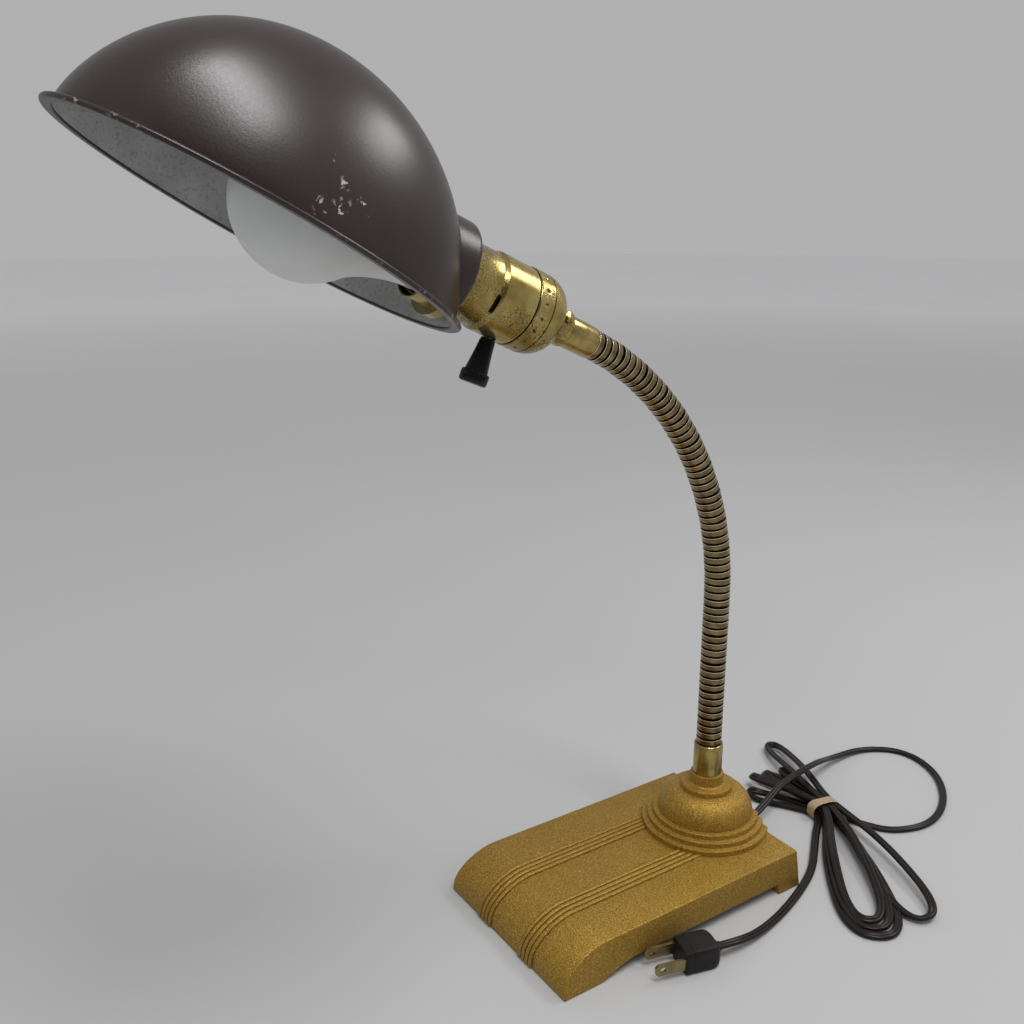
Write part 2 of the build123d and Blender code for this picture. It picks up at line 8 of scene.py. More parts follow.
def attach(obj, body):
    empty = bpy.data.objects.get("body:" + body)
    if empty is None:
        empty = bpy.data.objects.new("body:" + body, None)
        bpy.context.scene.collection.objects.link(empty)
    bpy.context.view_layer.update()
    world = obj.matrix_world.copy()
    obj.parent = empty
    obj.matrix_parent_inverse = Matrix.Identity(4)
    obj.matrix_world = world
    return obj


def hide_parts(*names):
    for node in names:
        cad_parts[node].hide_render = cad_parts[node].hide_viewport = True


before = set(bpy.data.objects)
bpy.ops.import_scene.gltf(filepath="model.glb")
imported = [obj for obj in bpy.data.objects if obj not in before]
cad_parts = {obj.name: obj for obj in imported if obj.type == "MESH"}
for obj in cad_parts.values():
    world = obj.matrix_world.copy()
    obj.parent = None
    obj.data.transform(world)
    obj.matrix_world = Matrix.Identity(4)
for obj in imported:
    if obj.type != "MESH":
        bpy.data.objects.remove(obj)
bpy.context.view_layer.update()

scene = bpy.context.scene
scene.view_settings.view_transform = "Standard"
mm = 0.001
yShift = 88.2334  # the base's middle is this far behind the origin
softAngle = 34  # edges that turn less than this are shaded smooth
plainShading = 0.6  # shading value of metal with no painted shade, painted highlight or dark seam

def placed(origin, xDir=(1, 0, 0), zDir=(0, 0, 1)):  # local millimetres to metres in the lamp's frame
    z = Vector(zDir).normalized()
    x = Vector(xDir).normalized()
    turn = Matrix((x, z.cross(x), z)).transposed().to_4x4()
    return Matrix.Translation(Vector(origin) * mm) @ turn @ Matrix.Scale(mm, 4)

def smoothEdges(mesh, angle=softAngle):
    mesh.shade_smooth()
    mesh.set_sharp_from_angle(angle=radians(angle))
    return mesh

def finishMesh(bm, name, angle=softAngle):
    bmesh.ops.recalc_face_normals(bm, faces=bm.faces)
    mesh = bpy.data.meshes.new(name)
    bm.to_mesh(mesh)
    bm.free()
    return smoothEdges(mesh, angle)

def strip(bm, low, high):  # faces between two rings, where one may be a single point
    count = max(len(low), len(high))
    for i in range(count):
        j = (i + 1) % count
        corners = [low[i % len(low)], low[j % len(low)], high[j % len(high)], high[i % len(high)]]
        bm.faces.new(list(dict.fromkeys(corners)))

def joinRings(bm, rings, closed=False):  # closed rings meet again, others get a face at each end
    for low, high in zip(rings, rings[1:] + (rings[:1] if closed else [])):
        strip(bm, low, high)
    for end in () if closed else (rings[0], rings[-1]):
        if len(end) > 2:
            bm.faces.new(end)

def ringMesh(name, rings, place, closed=False, angle=softAngle, shadingAndSeams=None):
    bm = bmesh.new()
    layer = bm.verts.layers.float.new("shadingAndSeams")
    made = []
    for index, ring in enumerate(rings):
        made.append([bm.verts.new(place @ Vector(p)) for p in ring])
        for vert in made[-1]:
            vert[layer] = shadingAndSeams[index] if shadingAndSeams else plainShading
    joinRings(bm, made, closed)
    return finishMesh(bm, name, angle)

def circle(radius, height, sides, wave=None):
    if radius < 1e-6:
        return [(0, 0, height)]
    turns = [2 * pi * i / sides for i in range(sides)]
    reach = [radius + (wave(t, height) if wave else 0) for t in turns]
    return [(r * cos(t), r * sin(t), height) for r, t in zip(reach, turns)]

def turned(name, outline, place, sides=64, closed=False, wave=None, angle=softAngle, shadingAndSeams=None):
    return ringMesh(name, [circle(r, z, sides, wave) for r, z in outline], place, closed, angle, shadingAndSeams)

def shadedTurn(name, line, place, sides, wave=None, angle=softAngle):  # turned, with a shading value at each point
    full = [(*p, plainShading)[:3] for p in line]
    return turned(name, [p[:2] for p in full], place, sides, True, wave, angle, [p[2] for p in full])

def cylinder(radius, low, high, core=0):
    return [(core, low), (radius, low), (radius, high), (core, high)]

def rounded(outline, radius, steps=4):  # an outline whose inner corners are eased
    made = [outline[0]]
    for before, corner, after in zip(outline, outline[1:], outline[2:]):
        a, b, c = Vector(before), Vector(corner), Vector(after)
        reach = min(radius, (a - b).length * 0.45, (c - b).length * 0.45)
        start = b + (a - b).normalized() * reach
        end = b + (c - b).normalized() * reach
        for i in range(steps + 1):
            t = i / steps
            made.append(tuple(start * (1 - t) ** 2 + b * 2 * t * (1 - t) + end * t * t))
    return made + [outline[-1]]

def softOblong(width, depth, height, power=4.0, count=40):  # a rounded rectangle as one ring
    made = []
    for i in range(count):
        c, s = cos(2 * pi * i / count), sin(2 * pi * i / count)
        reach = (abs(c) ** power + abs(s) ** power) ** (-1 / power)
        made.append((width / 2 * c * reach, depth / 2 * s * reach, height))
    return made

def boxMesh(name, size, middle, place):
    bm = bmesh.new()
    bmesh.ops.create_cube(bm, size=1)
    bm.transform(place @ Matrix.Translation(middle) @ Matrix.Diagonal((*size, 1)))
    return finishMesh(bm, name)

def loose(data):  # an object that is not a piece, or not yet
    made = bpy.data.objects.new(data.name, data)
    scene.collection.objects.link(made)
    return made

def piece(name, mesh, finish, body, stands=()):
    made = loose(mesh)
    made.name = name
    for one in finish if isinstance(finish, list) else [finish]:
        mesh.materials.append(one)
    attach(made, body)
    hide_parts(*stands)
    return made

def taken(helper):  # the mesh of a loose object, which goes
    mesh = helper.data
    bpy.data.objects.remove(helper)
    return mesh

def bake(target):  # the mesh with its modifiers applied
    graph = bpy.context.evaluated_depsgraph_get()
    mesh = bpy.data.meshes.new_from_object(target.evaluated_get(graph))
    target.modifiers.clear()
    target.data = mesh

def combine(target, tool, operation="DIFFERENCE"):
    helper = loose(tool)
    change = target.modifiers.new("change", "BOOLEAN")
    change.operation = operation
    change.object = helper
    change.solver = "MANIFOLD"
    bake(target)
    target.data.materials.clear()  # the solver leaves an empty slot
    bpy.data.objects.remove(helper)

def soften(target, width, segments=3, angle=35):
    bevel = target.modifiers.new("edges", "BEVEL")
    bevel.width = width * mm
    bevel.segments = segments
    bevel.limit_method = "ANGLE"
    bevel.angle_limit = radians(angle)
    bake(target)

def put(near, kind, inputs=None, **settings):  # a new node in the tree that holds a socket or a node
    links = near.id_data.links
    made = near.id_data.nodes.new("ShaderNode" + kind)
    for key, value in settings.items():
        setattr(made, key, value)
    for key, value in (inputs or {}).items():
        if isinstance(value, bpy.types.NodeSocket):
            links.new(value, made.inputs[key])
        else:
            made.inputs[key].default_value = value
    return made

def grain(where, scale, detail=3.0, rough=0.55):
    inputs = {"Vector": where, "Scale": scale, "Detail": detail, "Roughness": rough}
    return put(where, "TexNoise", inputs).outputs["Fac"]

def ramp(value, *stops):
    made = put(value, "ValToRGB", {"Fac": value})
    points = made.color_ramp.elements
    while len(points) < len(stops):
        points.new(0.5)
    for point, (place, colour) in zip(points, stops):
        point.position = place
        point.color = (*colour, 1) if isinstance(colour, tuple) else (colour, colour, colour, 1)
    return made.outputs["Color"]

def mixed(share, first, second):
    first, second = [(*v, 1) if isinstance(v, tuple) else v for v in (first, second)]
    inputs = {"Factor": share, 6: first, 7: second}  # the node's colour sockets
    return put(share, "Mix", inputs, data_type="RGBA").outputs[2]

def maths(operation, first, second=0.0):
    near = second if isinstance(first, float) else first
    return put(near, "Math", {0: first, 1: second}, operation=operation).outputs[0]

def times(first, second):
    return maths("MULTIPLY", first, second)

def attribute(near, name):
    return put(near, "Attribute", attribute_name=name).outputs["Fac"]

def fresh(name, **fixed):  # a finish, its shader and the object's own coordinates
    made = bpy.data.materials.new(name)
    made.use_nodes = True
    shader = made.node_tree.nodes["Principled BSDF"]
    for key, value in fixed.items():
        shader.inputs[key].default_value = value
    return made, shader, put(shader, "TexCoord").outputs["Object"]

def feed(shader, colour, rough, height=None, strength=0.1, distance=0.0004):
    links = shader.id_data.links
    links.new(colour, shader.inputs["Base Color"])
    links.new(rough, shader.inputs["Roughness"])
    if height:
        bump = put(shader, "Bump", {"Height": height, "Strength": strength, "Distance": distance})
        links.new(bump.outputs["Normal"], shader.inputs["Normal"])

def polishedMetal(name, dark, light, rough=0.24):
    made, shader, where = fresh(name, Metallic=0.95)
    patch = grain(where, 130, 5, 0.62)
    drawn = put(where, "Mapping", {"Vector": where, "Scale": (1.0, 1.0, 0.06)}).outputs[0]
    worn = maths("ADD", times(patch, 0.16), rough - 0.06)
    colour = ramp(patch, (0.32, dark), (0.62, light))
    feed(shader, colour, worn, grain(drawn, 2600, 2), 0.06, 0.0002)
    return made

def mouldedPlastic(name, dark, light, rough, size=1200, depth=0.15, shine=0.5):
    made, shader, where = fresh(name, **{"Specular IOR Level": shine})
    fine = grain(where, size, 3)
    colour = ramp(grain(where, 60, 3), (0.3, dark), (0.7, light))
    worn = maths("ADD", times(fine, 0.16), rough - 0.08)
    feed(shader, colour, worn, fine, depth)
    return made


brightBrass = polishedMetal("brightBrass", (0.24, 0.172, 0.055), (0.47, 0.36, 0.14), 0.19)
dullBrass = polishedMetal("dullBrass", (0.19, 0.15, 0.072), (0.36, 0.285, 0.14), 0.30)
plainSteel = polishedMetal("plainSteel", (0.34, 0.34, 0.33), (0.52, 0.52, 0.51), 0.32)
blackKnob = mouldedPlastic("blackKnob", (0.003, 0.003, 0.003), (0.006, 0.0055, 0.005), 0.26)
cordVinyl = mouldedPlastic("cordVinyl", (0.0065, 0.0042, 0.0032), (0.014, 0.009, 0.0068), 0.30,
                           size=700, depth=0.12, shine=0.24)
plugRubber = mouldedPlastic("plugRubber", (0.006, 0.0048, 0.0043), (0.013, 0.0102, 0.009), 0.46,
                            size=900, depth=0.35, shine=0.26)


# Base: a waterfall slab on two feet, a stepped dome and two bands of reeds

baseParts = {
    "length": 163.5, "width": 105.0, "height": 21.8, "draft": 5.0, "wall": 5.0, "edge": 0.8,
    "frontRadius": 32.0, "noseRadius": 15.0, "foot": 22.4, "heel": 16.3, "archHeight": 6.0, "archRun": 24.0,
    "reeds": 4, "reedPitch": 3.1, "reedHalf": 1.3, "reedHeight": 1.0, "reedPlace": 18.8,
    "domeY": 57.5, "rings": ((36.0, 24.9), (33.0, 28.0), (30.0, 31.1)), "ringEdge": 0.5,
    "bowl": 26.8, "bowlTop": 45.1, "disc": 14.0, "discTop": 48.1, "collar": 9.3, "collarTop": 54.6,
    "bore": 17.0, "roof": 43.1, "roofHalf": 10.0, "hole": 4.95, "exitHeight": 8.5, "exitHole": 3.6,
    "domeSides": 128, "boreSides": 64, "exitSides": 32,
    "below": -6.0, "above": 60.0, "exitRun": (-10.0, 15.0),  # where the cuts start and end
}
basePlace = placed((0, yShift, 0))
domePlace = placed((0, yShift + baseParts["domeY"], 0))
lean = tan(radians(baseParts["draft"]))

def goldPaint():
    b = baseParts
    made, shader, where = fresh("goldPaint", Metallic=0.6)
    fine = grain(where, 1500, 3, 0.65)
    flake = put(where, "TexVoronoi", {"Vector": where, "Scale": 1900}).outputs["Color"]
    glint = times(ramp(flake, (0.72, 0.0), (0.88, 1.0)), 0.42)
    body = ramp(fine, (0.34, (0.148, 0.078, 0.008)), (0.50, (0.325, 0.186, 0.0225)),
                (0.66, (0.47, 0.284, 0.045)))
    rubbed = ramp(grain(where, 24, 4), (0.40, 0.0), (0.74, 0.4))
    worn = mixed(rubbed, body, (0.26, 0.145, 0.018))
    place = put(where, "SeparateXYZ", {0: where}).outputs
    across = maths("SUBTRACT", maths("ABSOLUTE", place[0]), b["reedPlace"] * mm)
    phase = maths("FRACT", maths("DIVIDE", across, b["reedPitch"] * mm))
    groove = ramp(phase, (0.0, 1.0), (0.17, 0.0), (0.83, 0.0), (1.0, 1.0))
    reach = (b["reeds"] / 2 + 0.1) * b["reedPitch"] * mm
    band = maths("LESS_THAN", maths("ABSOLUTE", across), reach)
    ahead = maths("LESS_THAN", place[1], (yShift + b["domeY"] - 31) * mm)
    grooveShade = times(groove, band)  # painted shade lies between the reeds, ahead of the dome
    paintedShade = times(grooveShade, times(ahead, 0.85))
    # painted shade: the reed grooves ahead of the dome are darkened
    shadedPaint = mixed(paintedShade, worn, (0.075, 0.038, 0.006))
    colour = mixed(glint, shadedPaint, (0.72, 0.48, 0.12))
    feed(shader, colour, ramp(fine, (0.3, 0.56), (0.7, 0.38)), fine, 0.6, 0.0006)
    return made

def topLine(inset, steps=14):  # side view from the flat top down over the nose to the toe
    b = baseParts
    bend = pi / 4
    top = b["height"] - inset
    big, small = b["frontRadius"] - inset, b["noseRadius"] - inset
    start = b["frontRadius"] * sin(bend) + b["noseRadius"] * (1 - cos(bend)) - b["length"] / 2
    turns = [bend * i / steps for i in range(steps + 1)]
    line = [(start - big * sin(a), top - big * (1 - cos(a))) for a in turns]
    y, z = line[-1]
    for a in turns[1:]:
        line.append((y - small * (sin(bend + a) - sin(bend)), z - small * (cos(bend) - cos(bend + a))))
    return line

def drafted(name, outline, half, inset=0.0):  # a side outline made wide, with walls that lean in
    bm = bmesh.new()
    rear = baseParts["length"] / 2 - inset
    sides = []
    for side in (-1, 1):
        ring = []
        for y, z in outline:
            back = max(z, 0) * lean
            spot = Vector((side * (half - back), min(max(y, back - rear), rear - back), z))
            ring.append(bm.verts.new(basePlace @ spot))
        sides.append(ring)
    joinRings(bm, sides)
    return finishMesh(bm, name)

def domeMesh():
    b = baseParts
    low = b["height"] - b["wall"] + 0.7
    outline = [(b["bore"] - 2, low)]
    for radius, top in b["rings"]:
        outline += [(radius, low), (radius, top)]
        low = top
    turns = [pi / 2 * i / 14 for i in range(15)]
    swell, rise = b["bowl"] - b["disc"], b["bowlTop"] - low
    bowl = [(b["disc"] + swell * cos(t) ** 0.9, low + rise * sin(t)) for t in turns]
    crown = [(b["disc"] + 0.6, b["bowlTop"]), (b["disc"] + 0.6, b["discTop"]),
             (b["collar"] + 0.8, b["discTop"]), (b["collar"], b["discTop"] + 0.8),
             (b["collar"], b["collarTop"]), (b["hole"] / 2, b["collarTop"])]
    steps = rounded(outline + [(b["bowl"], low)], b["ringEdge"], 3) + bowl[1:]
    mesh = turned("dome", steps + rounded(crown, 0.7, 3), domePlace, b["domeSides"])
    bm = bmesh.new()
    bm.from_mesh(mesh)
    rear = basePlace @ Vector((0, b["length"] / 2 - 0.15, 0))  # flush with the leaning rear wall
    everything = bm.verts[:] + bm.edges[:] + bm.faces[:]
    cut = bmesh.ops.bisect_plane(bm, geom=everything, plane_co=rear, plane_no=(0, 1, lean),
                                 clear_outer=True)["geom_cut"]
    bmesh.ops.contextual_create(bm, geom=[e for e in cut if isinstance(e, bmesh.types.BMEdge)])
    return finishMesh(bm, "dome")

def reedMesh():
    b = baseParts
    path = [(b["domeY"] - 20, b["height"])] + topLine(0, 18)
    path[-1] = (path[-1][0] + 0.02, 1.2)
    half, root = b["reedHalf"], -0.8  # each reed stands in the slab by its root
    arc = [pi * i / 8 for i in range(9)]
    section = [(half * cos(t), b["reedHeight"] * sin(t) ** 0.75) for t in arc]
    section = [(half, root)] + section + [(-half, root)]
    bm = bmesh.new()
    for number in range(2 * b["reeds"]):
        side = -1 if number < b["reeds"] else 1
        x = side * b["reedPlace"] + (number % b["reeds"] - (b["reeds"] - 1) / 2) * b["reedPitch"]
        rings = []
        for k, (y, z) in enumerate(path):
            before, after = path[max(k - 1, 0)], path[min(k + 1, len(path) - 1)]
            along = Vector((0, after[0] - before[0], after[1] - before[1])).normalized()
            out = Vector((0, along.z, -along.y))
            rings.append([bm.verts.new(basePlace @ (Vector((x + a, y, z)) + out * h)) for a, h in section])
        joinRings(bm, rings)
    return finishMesh(bm, "reeds")

def buildBase():
    b = baseParts
    rear = b["length"] / 2
    line = topLine(0)
    arch = []
    for i in range(13):
        t = i / 12
        arch.append((b["foot"] - rear + b["archRun"] * t, b["archHeight"] * sin(pi / 2 * t) ** 1.15))
    heel = rear - b["heel"]
    outline = [(rear, b["height"])] + line + [(-rear, 0)] + arch
    outline += [(heel, b["archHeight"]), (heel, 0), (rear, 0)]
    slab = loose(drafted("slab", outline, b["width"] / 2))
    soften(slab, b["edge"])
    inner = topLine(b["wall"])
    pocket = [(rear, b["height"] - b["wall"])] + inner + [(inner[-1][0], b["below"]), (rear, b["below"])]
    combine(slab, drafted("pocket", pocket, b["width"] / 2 - b["wall"], b["wall"]))
    combine(slab, domeMesh(), "UNION")
    combine(slab, reedMesh(), "UNION")
    start, run = b["exitRun"]
    wayPlace = placed((0, yShift + rear + start, b["exitHeight"]), zDir=(0, 1, 0))
    way = [(b["exitHole"], 0), (b["exitHole"], run)]
    combine(slab, turned("way", way, wayPlace, b["exitSides"]))
    hollow = [(b["bore"], b["below"]), (b["bore"], b["rings"][-1][1] + 3), (b["roofHalf"], b["roof"]),
              (b["hole"], b["roof"]), (b["hole"], b["above"])]
    combine(slab, turned("hollow", hollow, domePlace, b["boreSides"]))
    mesh = smoothEdges(taken(slab), 30)
    return piece("castBase", mesh, goldPaint(), "base", ["base_casting"])


castBase = buildBase()
print("base", len(castBase.data.polygons), "faces")


# Neck: sixteen lengths of ribbed hose, each on its own body, with a ball in the next one's end

neckParts = {
    "links": 16, "ribs": 4, "straight": 89.3, "radius": 158.0, "turn": 65.1, "start": 73.1, "sides": 56,
    "crest": 7.15, "groove": 6.35, "cut": 0.80,  # cut is the groove between two ribs of one length
    "gap": 0.63,  # each end stands back, so that neighbours clear at the limits
    "ball": 6.2, "slip": 0.08, "bore": 4.0, "reach": 2.2, "tail": 10.0, "socketEnd": 4.4,
    "rib": ((0.0, 0.0, 0.0), (0.05, 0.74, 0.45), (0.12, 0.86, 0.6), (0.5, 0.9, 0.6), (0.82, 0.93, 0.62),
            (0.88, 1.0, 0.95), (0.945, 0.97, 1.0), (0.98, 0.6, 0.3), (1.0, 0.0, 0.0)),  # place, rise and shading: painted shade in the groove, painted highlight on the upper bevel
}

def agedBrass():
    made, shader, where = fresh("agedBrass", Metallic=1.0)
    shadingAndSeams = attribute(where, "shadingAndSeams")
    fine = grain(where, 1400, 2)
    metal = ramp(grain(where, 160, 4), (0.3, (0.135, 0.095, 0.046)),
                 (0.5, (0.23, 0.168, 0.086)), (0.72, (0.34, 0.26, 0.145)))
    # painted shade in the grooves between ribs and between lengths
    grooveShade = mixed(ramp(shadingAndSeams, (0.12, 0.0), (0.5, 1.0)), (0.010, 0.0065, 0.004), metal)
    # painted highlight along each rib's upper bevel
    colour = mixed(ramp(shadingAndSeams, (0.72, 0.0), (1.0, 1.0)), grooveShade, (0.88, 0.77, 0.52))
    feed(shader, colour, ramp(fine, (0.3, 0.27), (0.7, 0.17)), fine, 0.08, 0.0003)
    return made

def neckPoint(distance):  # straight up at first, then round an arc to the front
    n = neckParts
    y = yShift + baseParts["domeY"]
    if distance <= n["straight"]:
        return Vector((0, y, n["start"] + distance))
    turn = (distance - n["straight"]) / n["radius"]
    rise = n["start"] + n["straight"] + n["radius"] * sin(turn)
    return Vector((0, y - n["radius"] * (1 - cos(turn)), rise))

def linkOutline(length, first, last):  # ribs up the outside, a ball above and a socket below
    n = neckParts
    pitch = length / n["ribs"]
    line = []  # radius, height and shading value
    for rib in range(n["ribs"]):
        low = rib * pitch + (n["gap"] if rib == 0 and not first else n["cut"] / 2)
        high = (rib + 1) * pitch - (n["gap"] if rib == n["ribs"] - 1 and not last else n["cut"] / 2)
        for share, rise, shadingAndSeams in n["rib"]:
            line.append((n["groove"] + (n["crest"] - n["groove"]) * rise, low + (high - low) * share, shadingAndSeams))
    if last:
        tail = length + n["tail"]
        line += [(n["ball"], length, 0), (n["ball"], tail, 0), (n["bore"], tail, 0)]
    else:
        # the ball between two lengths gets painted shade
        for z in (0.02 - n["gap"], 0.0, 0.8, 1.5, n["reach"]):
            line.append((sqrt(n["ball"] ** 2 - z * z), length + z, 0.08))
        line.append((n["bore"], length + n["reach"], 0))
    if first:
        line += [(n["bore"], -n["tail"], 0), (n["ball"], -n["tail"], 0), (n["ball"], 0, 0)]
    else:
        line.append((n["bore"], n["socketEnd"], 0))
        for z in (3.7, 2.6, 1.4, n["gap"] + 0.05):
            line.append((sqrt((n["ball"] + n["slip"]) ** 2 - z * z), z, 0))
    return line


hoseBrass = agedBrass()
neckLength = neckParts["straight"] + neckParts["radius"] * radians(neckParts["turn"])
neckJoints = [neckPoint(neckLength * i / neckParts["links"]) for i in range(neckParts["links"] + 1)]
neckBodies = ["base"] + [f"neck_{i:02d}" for i in range(2, neckParts["links"])] + ["head"]
for index, body in enumerate(neckBodies):
    low, high = neckJoints[index], neckJoints[index + 1]
    line = linkOutline((high - low).length, index == 0, index == len(neckBodies) - 1)
    name = f"ribbedNeck{index + 1:02d}"
    place = placed(low, zDir=high - low)
    mesh = shadedTurn(name, line, place, neckParts["sides"], angle=60)
    piece(name, mesh, hoseBrass, body, [f"neck_link_{index + 1:02d}"])
print("neck", len(neckBodies), "lengths")


# Ferrules and lamp socket, measured along the socket's axis from the neck's end

headTurn = radians(neckParts["turn"])
headPlace = placed(neckJoints[-1], zDir=(0, -sin(headTurn), cos(headTurn)))
socketParts = {
    "foot": [(8.0, 54.6), (8.1, 55.2), (8.1, 72.6), (7.6, 73.1), (6.65, 73.1), (6.65, 61.2),
             (4.95, 61.15), (4.95, 54.6)],
    "tip": [(7.0, -0.4), (7.5, 0.3), (7.5, 16.3), (4.9, 16.45), (4.9, 23.0), (3.4, 23.0),
            (3.4, 11.5), (6.6, 11.5), (6.6, -0.4)],
    "ferruleSides": 64, "ferruleEdge": 0.5,
    "neck": 8.2, "start": 16.5, "shoulder": 25.0, "edge": 37.0, "end": 45.4, "radius": 18.3, "wall": 0.9,
    "hole": 4.95, "sides": 192, "punches": 18, "punchPlace": 41.6, "punchReach": 2.0, "punchDepth": 0.5,
    "rear": 17.7, "front": 16.7, "step": 62.6, "stepEnd": 64.9, "stepRings": 14,
    "dentTurn": -21.0, "dentPlace": 64.6, "dentEnd": 70.0, "dentDepth": 0.8,
    "bead": 18.0, "shellStart": 40.0, "shellEnd": 96.0, "bore": 15.9, "shaftHole": (2.6, 0, 30),
    "screw": [(0, 5.0), (1.5, 5.0), (1.5, 8.2), (2.75, 8.2), (2.75, 10.1), (0, 10.4)],
    "slot": (0.8, 6, 1.4), "slotPlace": 10.2,
    "screwPlace": 21.0, "screwTurn": 58.0, "knobPlace": 52.0, "knobTurn": -53.0,
}

def speckledBrass():
    made, shader, where = fresh("speckledBrass", Metallic=0.9)
    speck = grain(where, 1350, 3, 0.6)
    metal = ramp(grain(where, 75, 4), (0.3, (0.215, 0.155, 0.042)),
                 (0.5, (0.37, 0.28, 0.088)), (0.7, (0.52, 0.41, 0.155)))
    area = ramp(grain(where, 48, 2), (0.44, 0.05), (0.60, 1.0))
    pits = times(ramp(speck, (0.53, 0.0), (0.60, 1.0)), area)
    share = times(pits, 0.85)
    pitted = mixed(share, metal, (0.050, 0.032, 0.012))
    # darker where the shading value is raised: the seam, a dark joint, and painted shade in the punch marks
    # and the dent
    paintedShade = ramp(attribute(where, "shadingAndSeams"), (plainShading, 0.0), (1.0, 1.0))
    colour = mixed(paintedShade, pitted, (0.010, 0.0065, 0.003))
    rough = maths("ADD", times(share, 0.3), 0.20)
    feed(shader, colour, rough, maths("SUBTRACT", 1.0, share), 0.25, 0.0004)
    return made

def punched(turn, height):  # a row of small punch marks round the skirt
    s = socketParts
    share = (turn * s["punches"] / (2 * pi)) % 1.0 - 0.5
    across = share * 2 * pi * s["radius"] / s["punches"]
    if abs(height - s["punchPlace"]) > 2.4:
        return 0
    return -s["punchDepth"] * exp(-(across / 0.6) ** 2 - ((height - s["punchPlace"]) / 0.9) ** 2)

def dented(turn, height):  # the short press mark at the step
    s = socketParts
    if not s["step"] < height < s["dentEnd"]:
        return 0
    across = (turn - radians(s["dentTurn"]) + pi) % (2 * pi) - pi
    return -s["dentDepth"] * exp(-(across / 0.26) ** 4 - ((height - s["dentPlace"]) / 0.8) ** 4)

def shadePressed(mesh, surface, low, high, least, most):  # painted shade: darker where the metal is pressed in
    back = headPlace.inverted()
    for vert in mesh.vertices:
        spot = back @ vert.co
        depth = surface(spot.z) - spot.xy.length
        if low < spot.z < high and least < depth < most:
            mesh.attributes["shadingAndSeams"].data[vert.index].value = min(1.0, plainShading + depth)

def buildCap(finish):
    s = socketParts
    radius, inner, neck, hole = s["radius"], s["radius"] - s["wall"], s["neck"], s["hole"]
    start, shoulder, edge, end = s["start"], s["shoulder"], s["edge"], s["end"]
    rise, run = radius - neck, edge - shoulder
    turns = [pi / 2 * i / 16 for i in range(17)]
    line = [(neck - 0.3, start), (neck, start + 0.4), (neck, shoulder - 0.5)]
    line += [(neck - 0.25, shoulder - 0.2, 0.85)]
    line += [(neck + rise * sin(t), shoulder + run * (1 - cos(t))) for t in turns]
    line += [(radius - 0.28, edge + 0.15, 0.9), (radius - 0.28, edge + 0.5, 0.9)]
    line += [(radius, edge + 0.65 + 0.36 * i) for i in range(21)]  # close rings carry the punch marks
    line += [(radius - 0.3, end, 0.7), (inner, end, 0.9), (inner, edge)]
    line += [(neck + rise * 0.6, shoulder + run * 0.33), (neck - 1, shoulder + 1.2)]
    line += [(hole, shoulder + 1.2), (hole, start)]
    mesh = shadedTurn("socketCap", line, headPlace, s["sides"], punched)
    middle, reach = s["punchPlace"], s["punchReach"]
    # the punch marks get painted shade
    shadePressed(mesh, lambda z: radius, middle - reach, middle + reach, 0.12, 0.6)
    return piece("socketCap", mesh, finish, "head", ["socket_cap"])

def buildShell(finish):
    s = socketParts
    rear, front, bead, bore = s["rear"], s["front"], s["bead"], s["bore"]
    end, step, stepEnd, tip = s["end"], s["step"], s["stepEnd"], s["shellEnd"]
    line = [(rear - 0.45, s["shellStart"]), (rear - 0.5, end + 0.05, 0.95), (rear - 0.5, end + 0.45, 0.95),
            (rear + 0.1, end + 0.6), (rear + 0.1, 48.0), (rear, 56.0), (rear, step - 0.3)]
    count = s["stepRings"]
    drop, run = (rear - front) / count, (stepEnd - step) / count
    line += [(rear - drop * i, step + run * i) for i in range(count + 1)]
    line += [(front, stepEnd + 0.3 * (i + 1)) for i in range(6)]
    line += [(front, 77.2), (bead - 0.1, 79.0), (bead, 79.4), (bead, 80.0), (bead - 0.2, 80.2)]
    line += [(front, 80.3), (front, tip - 0.4), (front - 0.3, tip), (bore, tip), (bore, s["shellStart"])]
    mesh = shadedTurn("socketShell", line, headPlace, s["sides"], dented)
    slope = lambda z: max(front, rear - (rear - front) * (z - step) / (stepEnd - step))
    # the dent below the step gets painted shade
    shadePressed(mesh, slope, step, s["dentEnd"], 0.1, 0.92)
    shell = loose(mesh)
    combine(shell, turned("shaftHole", cylinder(*s["shaftHole"]), knobPlace, 32))
    return piece("socketShell", smoothEdges(taken(shell)), finish, "head", ["socket_shell"])

def buildScrew():
    s = socketParts
    turn = radians(s["screwTurn"])
    side = Matrix(((0, cos(turn), sin(turn), 0), (0, -sin(turn), cos(turn), 0), (1, 0, 0, 0), (0, 0, 0, 1)))
    place = headPlace @ Matrix.Translation((0, 0, s["screwPlace"])) @ side
    screw = loose(turned("setScrew", rounded(s["screw"], 0.5), place, 32))
    combine(screw, boxMesh("slot", s["slot"], (0, 0, s["slotPlace"]), place))
    return piece("setScrew", smoothEdges(taken(screw)), brightBrass, "head", ["set_screw"])


knobRoot = Matrix.Translation((0, 0, socketParts["knobPlace"]))
knobPlace = headPlace @ knobRoot @ Matrix.Rotation(pi / 2, 4, "X")
for name, line, place, body, node in (
        ("footFerrule", socketParts["foot"], domePlace, "base", "lower_ferrule"),
        ("tipFerrule", socketParts["tip"], headPlace, "head", "upper_ferrule")):
    outline = rounded(line, socketParts["ferruleEdge"])
    mesh = turned(name, outline, place, socketParts["ferruleSides"], closed=True)
    piece(name, mesh, brightBrass, body, [node])
socketBrass = speckledBrass()
buildCap(socketBrass)
buildShell(socketBrass)
buildScrew()
print("socket")


# Turn knob: a flared paddle with a stepped grip, its flat side to the front

